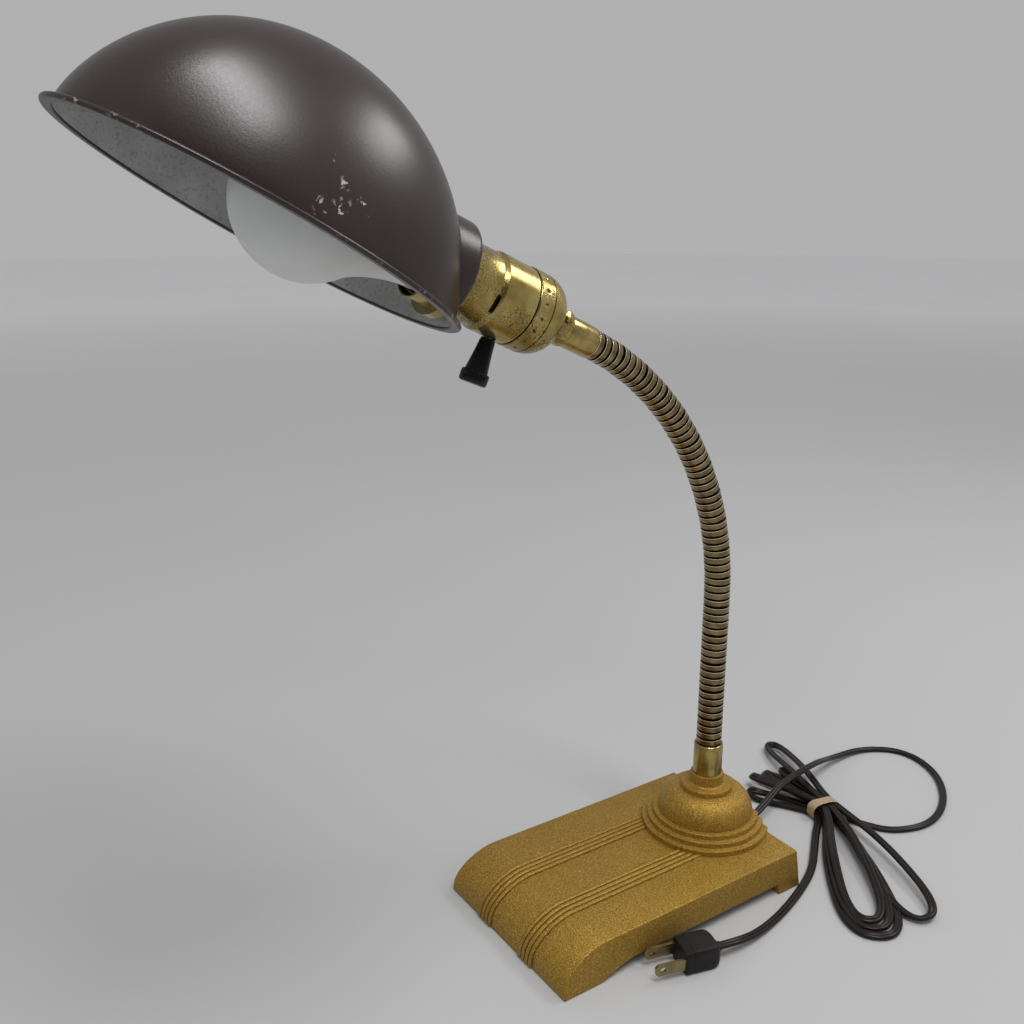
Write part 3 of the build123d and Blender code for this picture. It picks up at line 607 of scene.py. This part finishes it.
knobParts = {  # width, depth, height and squareness of each ring
    "rings": [(6.2, 4.6, 18.0, 3), (6.5, 4.8, 18.3, 3), (7.0, 5.0, 19.6, 4), (7.9, 5.2, 24.0, 4),
              (9.2, 5.5, 29.0, 4), (10.2, 5.8, 32.4, 5), (10.3, 5.9, 33.0, 5), (12.0, 6.4, 33.2, 5),
              (12.5, 6.6, 33.7, 5), (12.7, 6.6, 35.6, 5), (12.4, 6.4, 37.7, 5), (11.7, 5.8, 38.3, 5),
              (10.2, 4.6, 38.5, 5)],
    "bore": (1.65, 17, 28),  # radius and reach
}
paddlePlace = knobPlace @ Matrix.Rotation(radians(socketParts["knobTurn"]), 4, "Z")
knob = loose(ringMesh("turnKnob", [softOblong(*ring) for ring in knobParts["rings"]], paddlePlace))
combine(knob, turned("knobBore", cylinder(*knobParts["bore"]), paddlePlace, 24))
piece("turnKnob", smoothEdges(taken(knob)), blackKnob, "knob", ["switch_knob"])
print("knob")


# Shade: an oval dome with a rolled lip and a round collar behind

shadeParts = {
    "halfWidth": 52.0, "halfLength": 82.7, "height": 68.7, "wall": 1.0, "power": 2.09, "share": 0.617,
    "lip": 3.5, "lipThickness": 1.9, "reach": 158.5, "drop": 14.8, "tilt": 5.1,
    "collar": 22.4, "collarBore": 21.4, "collarDepth": 27.0, "collarEdge": 2.6,
    "collarSides": 96, "collarShown": 14, "seat": 80.5, "mouth": 17.0, "mouthStart": 70.0,
    "overcut": -5.0, "sides": 144, "bands": 30,
    "trim": (300, 300, 100), "trimPlace": -50.3,  # a block that cuts the collar just under the rim
    "chips": [((51, -98, 367), 4), ((51, -90, 366), 5), ((50, -81, 367), 4), ((49, -88, 374), 3),
              ((47, -89, 382), 2.5)],  # places of worn spots in the lamp's frame, and how far they spread
}
shadeShift = Matrix.Translation((0, -shadeParts["drop"], shadeParts["reach"]))
shadePlace = headPlace @ shadeShift @ Matrix.Rotation(-pi / 2 - radians(shadeParts["tilt"]), 4, "X")

def brownEnamel():
    made, shader, where = fresh("brownEnamel")
    fine = grain(where, 900, 2)
    cloud = grain(where, 18, 3)
    paint = ramp(cloud, (0.3, (0.0165, 0.0082, 0.0078)), (0.7, (0.0245, 0.0128, 0.0122)))
    near = None
    for place, size in shadeParts["chips"]:
        spot = tuple(c * mm for c in place)
        gap = put(where, "VectorMath", {0: where, 1: spot}, operation="DISTANCE").outputs["Value"]
        mask = ramp(maths("DIVIDE", gap, size * mm), (0.25, 1.0), (1.0, 0.0))
        near = maths("MAXIMUM", near, mask) if near else mask
    patches = ramp(grain(where, 36, 2), (0.52, 0.0), (0.64, 1.0))
    edge = times(ramp(attribute(where, "rim"), (0.6, 0.0), (0.97, 0.7)), patches)
    flaked = ramp(grain(where, 420, 3, 0.6), (0.585, 0.0), (0.615, 1.0))
    share = times(maths("MAXIMUM", near, edge), flaked)
    rough = maths("ADD", times(fine, 0.10), 0.27)
    colour = mixed(share, paint, (0.44, 0.36, 0.32))
    feed(shader, colour, rough, maths("SUBTRACT", fine, share), 0.08, 0.0004)
    return made

def aluminiumPaint():
    made, shader, where = fresh("aluminiumPaint", Metallic=0.3)
    fine = grain(where, 700, 3)
    pale = ramp(grain(where, 45, 4), (0.3, (0.36, 0.37, 0.36)), (0.7, (0.52, 0.53, 0.52)))
    specks = times(ramp(fine, (0.36, 1.0), (0.45, 0.0)), 0.4)
    colour = mixed(specks, pale, (0.17, 0.17, 0.16))
    feed(shader, colour, ramp(fine, (0.3, 0.62), (0.7, 0.46)), fine, 0.15)
    return made

def ovalRing(share, height, grow=0.0, inset=0.0):
    s = shadeParts
    turns = [2 * pi * i / s["sides"] for i in range(s["sides"])]
    a, b = (s["halfWidth"] - inset) * share + grow, (s["halfLength"] - inset) * share + grow
    return [(a * cos(t), b * sin(t), height) for t in turns]

def bowlMesh(name, inset, floor=0.0):
    s = shadeParts
    rings = [ovalRing(1.0, floor, 0, inset)] if floor < 0 else []
    for i in range(s["bands"]):
        share = sin(pi / 2 * (1 - i / s["bands"]))
        height = (s["height"] - inset) * (1 - share ** s["power"]) ** s["share"]
        rings.append(ovalRing(share, height, 0, inset))
    return ringMesh(name, rings + [[(0, 0, s["height"] - inset)]], shadePlace)

def inside(centre, normal):  # whether a face of the shade looks at the bulb
    s = shadeParts
    spot = headPlace.inverted() @ centre
    radius = spot.xy.length
    axis = (headPlace.to_3x3() @ Vector((0, 0, 1))).normalized()
    inward = normal.dot(centre - headPlace @ Vector((0, 0, spot.z))) < 0
    if abs(radius - s["collarBore"]) < 0.4 and inward:  # the bore's own wall
        return True
    if spot.z < s["seat"] + s["collarShown"] and radius < s["collar"] + 0.3:  # the collar
        near = radius < (s["collar"] + s["collarBore"]) / 2
        return normal.dot(axis) > (-0.5 if near else 0.3)
    return normal.dot(centre - shadePlace @ Vector((0, 0, 12))) < 0  # the bowl

def buildShade():
    s = shadeParts
    bowl = loose(bowlMesh("bowl", 0))
    seat, floor, far = s["seat"], s["seat"] + s["wall"], s["seat"] + s["collarDepth"]
    core, sides = s["mouth"] / 2, s["collarSides"]
    line = rounded([(core, seat), (s["collar"], seat), (s["collar"], far)], s["collarEdge"], 6)
    collar = loose(turned("collar", line + [(core, far)], headPlace, sides))
    combine(collar, boxMesh("trim", s["trim"], (0, 0, s["trimPlace"]), shadePlace))
    combine(bowl, taken(collar), "UNION")
    cavity = loose(bowlMesh("cavity", s["wall"], s["overcut"]))
    bore = cylinder(s["collarBore"], floor, far, core)
    combine(cavity, turned("collarBore", bore, headPlace, sides), "UNION")
    combine(bowl, taken(cavity))
    mouth = cylinder(s["mouth"], s["mouthStart"], far, core)
    combine(bowl, turned("mouth", mouth, headPlace, sides))
    bm = bmesh.new()
    bm.from_mesh(taken(bowl))
    bm.normal_update()
    for face in bm.faces:
        face.material_index = 1 if inside(face.calc_center_median(), face.normal) else 0
    half = s["lipThickness"] / 2  # the lip's section, out from the oval and up from its plane
    section = [(-0.9, half * 0.5), (-0.2, half), (s["lip"] - 1.3, half)]
    section += [(s["lip"] - 1.2 + 1.2 * sin(pi * i / 8), 0.1 + 1.05 * cos(pi * i / 8)) for i in range(9)]
    section += [(s["lip"] - 1.3, -half), (-0.4, -half), (-0.9, -half * 0.5)]
    rings = [[bm.verts.new(shadePlace @ Vector(p)) for p in ovalRing(1.0, z, grow)] for grow, z in section]
    joinRings(bm, rings, True)
    mesh = finishMesh(bm, "ovalShade")
    back = shadePlace.inverted()
    rim = mesh.attributes.new("rim", "FLOAT", "POINT")
    for vert in mesh.vertices:
        rim.data[vert.index].value = max(0.0, 1.0 - abs((back @ vert.co).z) / 5.0)
    return piece("ovalShade", mesh, [brownEnamel(), aluminiumPaint()], "shade", ["shade"])


ovalShade = buildShade()
print("shade", len(ovalShade.data.polygons), "faces")


# Bulb

bulbParts = {
    "middle": 148.0, "radius": 30.0, "neck": 13.0, "start": 95.0, "wall": 1.0, "join": 0.86, "swell": 9.0,
    "sides": 96, "opening": [(0, 94), (12, 94)],
}

def frostedGlass():
    made, shader, where = fresh("frostedGlass")
    shader.inputs["Subsurface Weight"].default_value = 0.2
    shader.inputs["Subsurface Radius"].default_value = (0.004, 0.004, 0.004)
    cloud = grain(where, 30, 3)
    colour = ramp(cloud, (0.3, (0.60, 0.61, 0.60)), (0.7, (0.70, 0.71, 0.70)))
    rough = ramp(cloud, (0.3, 0.38), (0.7, 0.30))
    feed(shader, colour, rough, grain(where, 2200, 2), 0.05, 0.0002)
    return made

def bulbLine(inset):
    b = bulbParts
    radius = b["radius"] - inset
    low = Vector((b["neck"] - inset, b["start"] + 2))
    high = Vector((radius * sin(b["join"]), b["middle"] - radius * cos(b["join"])))
    first = low + Vector((0, b["swell"]))
    second = high - Vector((cos(b["join"]), sin(b["join"]))) * b["swell"]
    line = [(low.x, b["start"])]
    for i in range(13):  # the neck swells into the globe
        t = i / 13
        u = 1 - t
        spot = low * u ** 3 + first * 3 * t * u ** 2 + second * 3 * t * t * u + high * t ** 3
        line.append(tuple(spot))
    turns = [b["join"] + (pi - b["join"]) * i / 28 for i in range(28)]
    line += [(radius * sin(a), b["middle"] - radius * cos(a)) for a in turns]
    return line + [(0, b["middle"] + radius)]


bulb = loose(turned("frostedBulb", bulbLine(0), headPlace, bulbParts["sides"]))
hollow = bulbParts["opening"] + bulbLine(bulbParts["wall"])
combine(bulb, turned("bulbHollow", hollow, headPlace, bulbParts["sides"]))
piece("frostedBulb", smoothEdges(taken(bulb)), frostedGlass(), "head", ["bulb_glass"])
print("bulb")


# Flat twin cord: out of the base, round a loop, through the tied hank and on to the plug

cordParts = {
    "width": 4.6, "thickness": 2.7, "onEdge": 55.0,
    "lead": [(0, 76.75, 8.5), (0, 96.75, 8.5), (-5, 116, 12), (-10, 133, 15.5), (-16, 170, 15.5),
             (-27, 204, 4), (-27, 235, 1.5), (-8, 256, 1.5), (22, 249, 1.5), (47, 223, 1.5),
             (58, 193, 1.5), (50, 168, 1.5), (36, 159, 1.5)],
    "tie": (12.5, 147.5), "bearing": -12.0, "columnPitch": 4.1, "rowPitch": 3.0, "firstRow": 2.3,
    "strands": [(1.5, 0), (1.5, 1), (1.5, 2), (0.5, 2), (-0.5, 2), (-0.5, 1), (0.5, 1), (0.5, 0),
                (-0.5, 0), (-1.6, 0)],  # column and row in the tie
    "waist": 8.0,  # how far from the tie's middle the strands part
    # bearing, reach, half width and height of each fold's tip, left and right in turn
    "folds": [(168.0, 42.0, 6.2, 1.5), (-24.0, 98.0, 11.0, 1.5), (157.0, 76.0, 5.8, 3.0),
              (-38.0, 96.0, 10.2, 2.0), (194.0, 43.0, 6.4, 6.0), (-37.5, 102.0, 13.2, 1.8),
              (181.0, 43.0, 6.4, 3.0), (-37.0, 108.0, 16.2, 1.5), (208.0, 39.0, 6.4, 1.5)],
    "leadIn": 25.0, "leadOut": -60.0, "shoulder": 0.42, "longFold": 60.0,
    "out": [(24, 128, 1.5), (35, 114, 1.5), (49, 96, 1.5), (59.5, 72, 1.5), (67, 48, 1.5),
            (71.5, 27, 3.5), (72.35, 10.1, 6.7), (69.5, -0.5, 6.7)],
}

def tiePoint(along, column, row):  # along the tied strands, across them in columns and up in rows
    c = cordParts
    turn = radians(c["bearing"])
    side = column * c["columnPitch"]
    x = c["tie"][0] + along * cos(turn) - side * sin(turn)
    y = c["tie"][1] + along * sin(turn) + side * cos(turn)
    return Vector((x, y, c["firstRow"] + row * c["rowPitch"]))

def strandEnd(strand, side, bearing):  # where a strand leaves the tie
    c = cordParts
    turn = radians(bearing - c["bearing"] - (0 if side > 0 else 180))
    return tiePoint(side * c["waist"] - strand[0] * c["columnPitch"] * tan(turn / 2), *strand)

def foldPoints(start, end, bearing, reach, halfWidth, tipHeight):  # out, round the tip and back
    c = cordParts
    turn = radians(bearing)
    ahead, aside = Vector((cos(turn), sin(turn), 0)), Vector((-sin(turn), cos(turn), 0))
    root = (start + end) / 2
    offset = (start - end).dot(aside)
    spread = aside * (halfWidth if offset > 0 or (abs(offset) < 0.1 and start.z > end.z) else -halfWidth)
    fall = min(start.z, end.z) - tipHeight
    tip, shoulder = root + ahead * reach, root + ahead * reach * c["shoulder"]
    points = [tip + spread, tip - spread]
    heights = [start.z - fall, end.z - fall]
    if reach > c["longFold"]:
        points = [shoulder + spread * 0.85] + points + [shoulder - spread * 0.85]
        heights = [start.z] + heights + [end.z]
    return [Vector((p.x, p.y, z)) for p, z in zip(points, heights)]

def hankPoints():
    c = cordParts
    points = [strandEnd(c["strands"][0], 1, c["leadIn"])]
    for i, fold in enumerate(c["folds"]):
        side = -1 if i % 2 == 0 else 1
        start, end = [strandEnd(strand, side, fold[0]) for strand in c["strands"][i:i + 2]]
        points += [start] + foldPoints(start, end, *fold) + [end]
    return points + [strandEnd(c["strands"][-1], 1, c["leadOut"])]

def splinePoints(points):  # places along the smooth spline that a route controls
    curve = bpy.data.curves.new("route", "CURVE")
    curve.dimensions = "3D"
    curve.resolution_u = 10
    line = curve.splines.new("NURBS")
    line.points.add(len(points) - 1)
    for spot, (x, y, z) in zip(line.points, points):
        spot.co = (x * mm, (y + yShift) * mm, z * mm, 1)
    line.order_u = 3
    line.use_endpoint_u = True
    holder = loose(curve)
    mesh = bpy.data.meshes.new_from_object(holder.evaluated_get(bpy.context.evaluated_depsgraph_get()))
    bpy.data.objects.remove(holder)
    return [v.co.copy() for v in mesh.vertices]

def twinSection(width, thickness, count=24):  # two cores side by side with a groove between them
    made = []
    for i in range(count):
        x, y = cos(2 * pi * i / count), sin(2 * pi * i / count)
        bulge = abs(y) ** 0.7 * (1 - 0.34 * exp(-(x / 0.22) ** 2))
        made.append((x * width / 2, (bulge if y >= 0 else -bulge) * thickness / 2))
    return made

def sweptCord(name, path, section, spin, wide=None):  # the section's wide way lies level unless it spins
    bm = bmesh.new()
    rings = []
    for i, spot in enumerate(path):
        along = (path[min(i + 1, len(path) - 1)] - path[max(i - 1, 0)]).normalized()
        side = wide or along.cross(Vector((0, 0, 1))).normalized()
        up = side.cross(along)
        c, s = cos(spin[i]), sin(spin[i])
        ring = [side * (x * c - y * s) + up * (x * s + y * c) for x, y in section]
        rings.append([bm.verts.new(spot + offset * mm) for offset in ring])
    joinRings(bm, rings)
    return finishMesh(bm, name, 50)

def eased(values, rounds):  # each value drawn towards its neighbours
    for _ in range(rounds):
        before, after = values[:1] + values[:-1], values[1:] + values[-1:]
        values = [(a + 2 * b + c) / 4 for a, b, c in zip(before, values, after)]
    return values

def tightness(path, reach=3):  # how much the cord turns on its edge, from the bend at each place
    made = []
    for i in range(len(path)):
        a, b, c = path[max(i - reach, 0)], path[i], path[min(i + reach, len(path) - 1)]
        run = max(((b - a).length + (c - b).length) / 2, 1e-5)
        made.append(min(max(((b - a).angle(c - b, 0.0) / run - 60) / 160, 0.0), 1.0))
    return eased(made, 8)

def buildCord():
    c = cordParts
    path = splinePoints(c["lead"] + [tuple(p) for p in hankPoints()] + c["out"])
    spin = [radians(c["onEdge"]) * t for t in tightness(path)]
    lows = [(c["width"] / 2 * abs(sin(t)) + c["thickness"] / 2 * cos(t) + 0.1) * mm for t in spin]
    for spot, lift in zip(path, eased([max(0.0, low - p.z) for p, low in zip(path, lows)], 2)):
        spot.z += lift
    mesh = sweptCord("twinCord", path, twinSection(c["width"], c["thickness"]), spin)
    cord = piece("twinCord", mesh, cordVinyl, "base", ["base_lead", "cord_hank", "plug_lead"])
    return cord, path, sum((b - a).length for a, b in zip(path, path[1:]))


twinCord, cordLine, cordLength = buildCord()
innerParts = {
    "route": [(0, 76.5, 8.5), (0, 66.75, 8.5), (0, 57.5, 23.1), (0, 57.5, 38.1)],
    "width": 4.4, "thickness": 2.6,
}
innerLine = splinePoints(innerParts["route"])
innerMesh = sweptCord("innerCord", innerLine, twinSection(innerParts["width"], innerParts["thickness"]),
                      [0.0] * len(innerLine), Vector((1, 0, 0)))
piece("innerCord", innerMesh, cordVinyl, "base", ["inner_lead"])
bushParts = {
    "face": 81.41,
    "line": [(2.6, -5.0), (3.5, -5.0), (3.5, 0.05), (4.6, 0.05), (4.6, 1.2), (2.6, 1.2)],
}
bushPlace = placed((0, yShift + bushParts["face"], baseParts["exitHeight"]), zDir=(0, 1, 0))
bushMesh = turned("cordBush", rounded(bushParts["line"], 0.5), bushPlace, 40, closed=True)
piece("cordBush", bushMesh, plugRubber, "base", ["cord_bushing"])
print("cord", round(cordLength, 3), "m")


# Band round the hank, wound three times

tieParts = {
    "slack": 0.5, "thickness": 0.7, "windings": (-2.3, 0.1, 2.4), "half": 1.25, "sides": 72,
    "section": ((0.0, -0.8), (0.5, -1.0), (1.0, -0.6), (1.15, 0.0), (1.0, 0.6), (0.5, 1.0), (0.0, 0.8)),
}

def headed(origin, bearing):  # a frame whose z points along a level bearing
    turn = radians(bearing)
    ahead, aside = (cos(turn), sin(turn), 0), (-sin(turn), cos(turn), 0)
    return placed(Vector(origin) + Vector((0, yShift, 0)), xDir=aside, zDir=ahead)

def twineBand():
    made, shader, where = fresh("twineBand")
    inputs = {"Vector": where, "Scale": 420, "Distortion": 3, "Detail": 2}
    thread = put(where, "TexWave", inputs, bands_direction="X").outputs["Fac"]
    colour = ramp(thread, (0.2, (0.27, 0.175, 0.105)), (0.8, (0.50, 0.37, 0.25)))
    feed(shader, colour, ramp(thread, (0.2, 0.9), (0.8, 0.75)), thread, 0.5, 0.0005)
    return made

def buildTie():
    c, t = cordParts, tieParts
    columns, rows = [s[0] for s in c["strands"]], [s[1] for s in c["strands"]]
    half = (max(columns) - min(columns)) * c["columnPitch"] / 2 + c["width"] / 2 + t["slack"]
    tall = max(rows) * c["rowPitch"] / 2 + c["thickness"] / 2 + t["slack"]
    middle = tiePoint(0, (max(columns) + min(columns)) / 2, max(rows) / 2)
    place = headed(middle, c["bearing"])
    bm = bmesh.new()
    for number, start in enumerate(t["windings"]):
        rings = []
        for out, along in t["section"]:
            ring = []
            for i in range(t["sides"]):
                angle = 2 * pi * i / t["sides"]
                c0, s0 = cos(angle), sin(angle)
                reach = (abs(c0) ** 3 + abs(s0) ** 3) ** (-1 / 3)
                wander = noise.noise(Vector((c0 * 1.6, s0 * 1.6, number * 3.7)))
                sway = 0.55 * wander + 0.4 * sin(angle + number)
                grow = out * t["thickness"] * (1 if s0 > -0.75 else 0.6)
                x, y = (half + grow) * c0 * reach, (tall + grow) * s0 * reach
                ring.append(place @ Vector((x, y, start + sway + along * t["half"])))
            rings.append([bm.verts.new(p) for p in ring])
        joinRings(bm, rings, True)
    return finishMesh(bm, "tieBand", 60)


tieBand = piece("tieBand", buildTie(), twineBand(), "base", ["cord_tie"])


# Plug: a square moulded block with two flat blades

plugParts = {
    "start": (69.5, -0.5, 6.7), "bearing": 255.0, "length": 19.5,
    "rings": [(5.2, 3.6, -3.0, 3), (5.6, 4.2, -0.2, 3), (6.4, 5.0, 0.0, 3), (11.6, 8.6, 0.0, 5),
              (13.2, 10.4, 0.4, 6), (14.8, 11.9, 1.4, 8), (15.7, 12.7, 2.9, 9), (16.0, 13.0, 4.6, 10),
              (16.0, 13.0, 14.9, 10), (15.5, 12.6, 15.1, 10), (15.5, 12.6, 15.6, 10),
              (16.0, 13.0, 15.8, 10), (16.0, 13.0, 18.9, 10), (15.3, 12.4, 19.5, 10)],
    "blade": 16.5, "bladeHeight": 6.3, "bladeHalf": 0.75, "pitch": 12.7, "hole": (1.6, -3, 3),
    "seat": 4.0, "corner": 1.5,
}
plugPlace = headed(plugParts["start"], plugParts["bearing"])
plugMesh = ringMesh("plugBody", [softOblong(*ring) for ring in plugParts["rings"]], plugPlace, angle=40)
plugBody = piece("plugBody", plugMesh, plugRubber, "base", ["plug_body"])

def buildBlade(name, side, node):
    p = plugParts
    start, end = p["length"] - p["seat"], p["length"] + p["blade"]
    half, corner = p["bladeHeight"] / 2, p["corner"]
    outline = [(-half, start), (half, start), (half, end - corner), (half - corner, end),
               (corner - half, end), (-half, end - corner)]
    middle = side * p["pitch"] / 2
    rings = [[(middle + x, y, z) for y, z in outline] for x in (-p["bladeHalf"], p["bladeHalf"])]
    blade = loose(ringMesh(name, rings, plugPlace))
    spot = Matrix.Translation((middle, 0, end - p["seat"]))
    holePlace = plugPlace @ spot @ Matrix.Rotation(pi / 2, 4, "Y")
    combine(blade, turned("bladeHole", cylinder(*p["hole"]), holePlace, 32))
    soften(blade, 0.2, 2)
    return piece(name, smoothEdges(taken(blade)), dullBrass, "base", [node])


blades = [buildBlade("leftBlade", -1, "plug_blade_left"), buildBlade("rightBlade", 1, "plug_blade_right")]
print("tie and plug")


# Finishes of the pieces that keep the frame's own shape

keptFinishes = {
    "neck_nipple": brightBrass, "nipple_washer": plainSteel, "nipple_nut": plainSteel,
    "switch_body": blackKnob, "terminal_screw_left": dullBrass, "terminal_screw_right": plainSteel,
    "screw_shell": dullBrass, "centre_contact": dullBrass, "shade_ring": brightBrass,
    "bulb_contact": dullBrass, "bulb_base": dullBrass, "switch_shaft": plainSteel,
}
for node, finish in keptFinishes.items():
    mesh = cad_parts[node].data
    mesh.materials.clear()
    mesh.materials.append(finish)
print("kept", len(keptFinishes), "nodes")


# Floor, light and camera

stageParts = {
    "floor": 7.0, "nearColour": 0.425, "farColour": 0.83,
    "wall": (0.435, 0.435, 0.44), "ambient": (0.52, 0.52, 0.53),
    "openSide": (0.83, -0.55, 0.06), "dark": (0.05, 0.05, 0.05),
    "lens": 37.27, "eye": (0.38813, -0.24690, 0.36966), "bearing": 56.33, "drop": 16.52, "roll": -0.10,
    "sensor": 36,
    "panels": {  # place, aim, size and power
        "topPanel": ((0.48, 0.05, 1.41), (0.0, -0.12, 0.40), (0.28, 0.85), 11.5),
        "rearPanel": ((0.22, 0.95, 1.02), (0.0, -0.05, 0.35), (0.55, 0.26), 4.0),
        "frontPanel": ((0.5, -1.2, 1.2), (0.0, 0.0, 0.15), (0.9, 0.5), 1.0),
    },
}

def floorPaper():
    s = stageParts
    made, shader, where = fresh("floorPaper")
    far = put(where, "VectorMath", {0: where}, operation="LENGTH").outputs["Value"]
    share = maths("DIVIDE", far, s["floor"])
    shade = ramp(share, (0.05, s["nearColour"]), (0.5, s["farColour"]))
    soft = grain(where, 3, 3)
    colour = mixed(ramp(soft, (0.3, 0.0), (0.7, 0.04)), shade, (0.3, 0.3, 0.3))
    feed(shader, colour, ramp(soft, (0.3, 0.8), (0.7, 0.7)))
    return made

def panel(name, place, aim, size, power):
    light = bpy.data.lights.new(name, "AREA")
    light.shape = "RECTANGLE"
    light.size, light.size_y = size
    light.energy = power
    made = loose(light)
    made.location = place
    made.rotation_euler = (Vector(aim) - Vector(place)).to_track_quat("-Z", "Y").to_euler()


bm = bmesh.new()
bmesh.ops.create_circle(bm, cap_ends=True, segments=96, radius=stageParts["floor"])
studioFloor = loose(finishMesh(bm, "studioFloor"))
studioFloor.data.materials.append(floorPaper())
for name, settings in stageParts["panels"].items():
    panel(name, *settings)

world = bpy.data.worlds.new("studio")
scene.world = world
world.use_nodes = True
background = world.node_tree.nodes["Background"]
ray = put(background, "LightPath").outputs
mirrored = maths("MAXIMUM", ray["Is Glossy Ray"], ray["Is Transmission Ray"])
compass = put(background, "TexCoord").outputs["Generated"]
facing = put(background, "VectorMath", {0: compass, 1: stageParts["openSide"]}, operation="DOT_PRODUCT")
# metal shows the studio's dark open side
opening = ramp(facing.outputs["Value"], (0.45, 0.0), (0.85, 1.0))
walls = mixed(times(opening, mirrored), stageParts["wall"], stageParts["dark"])
seen = maths("MAXIMUM", ray["Is Camera Ray"], mirrored)
world.node_tree.links.new(mixed(seen, stageParts["ambient"], walls), background.inputs["Color"])

camera = bpy.data.cameras.new("photoView")
camera.lens = stageParts["lens"]
camera.sensor_width = stageParts["sensor"]
view = loose(camera)
bearing, drop = radians(stageParts["bearing"]), radians(stageParts["drop"])
ahead = Vector((-sin(bearing) * cos(drop), cos(bearing) * cos(drop), -sin(drop)))
level = ahead.to_track_quat("-Z", "Y").to_matrix()
view.location = stageParts["eye"]
view.rotation_euler = (level @ Matrix.Rotation(radians(stageParts["roll"]), 3, "Z")).to_euler()
scene.camera = view
print("stage")
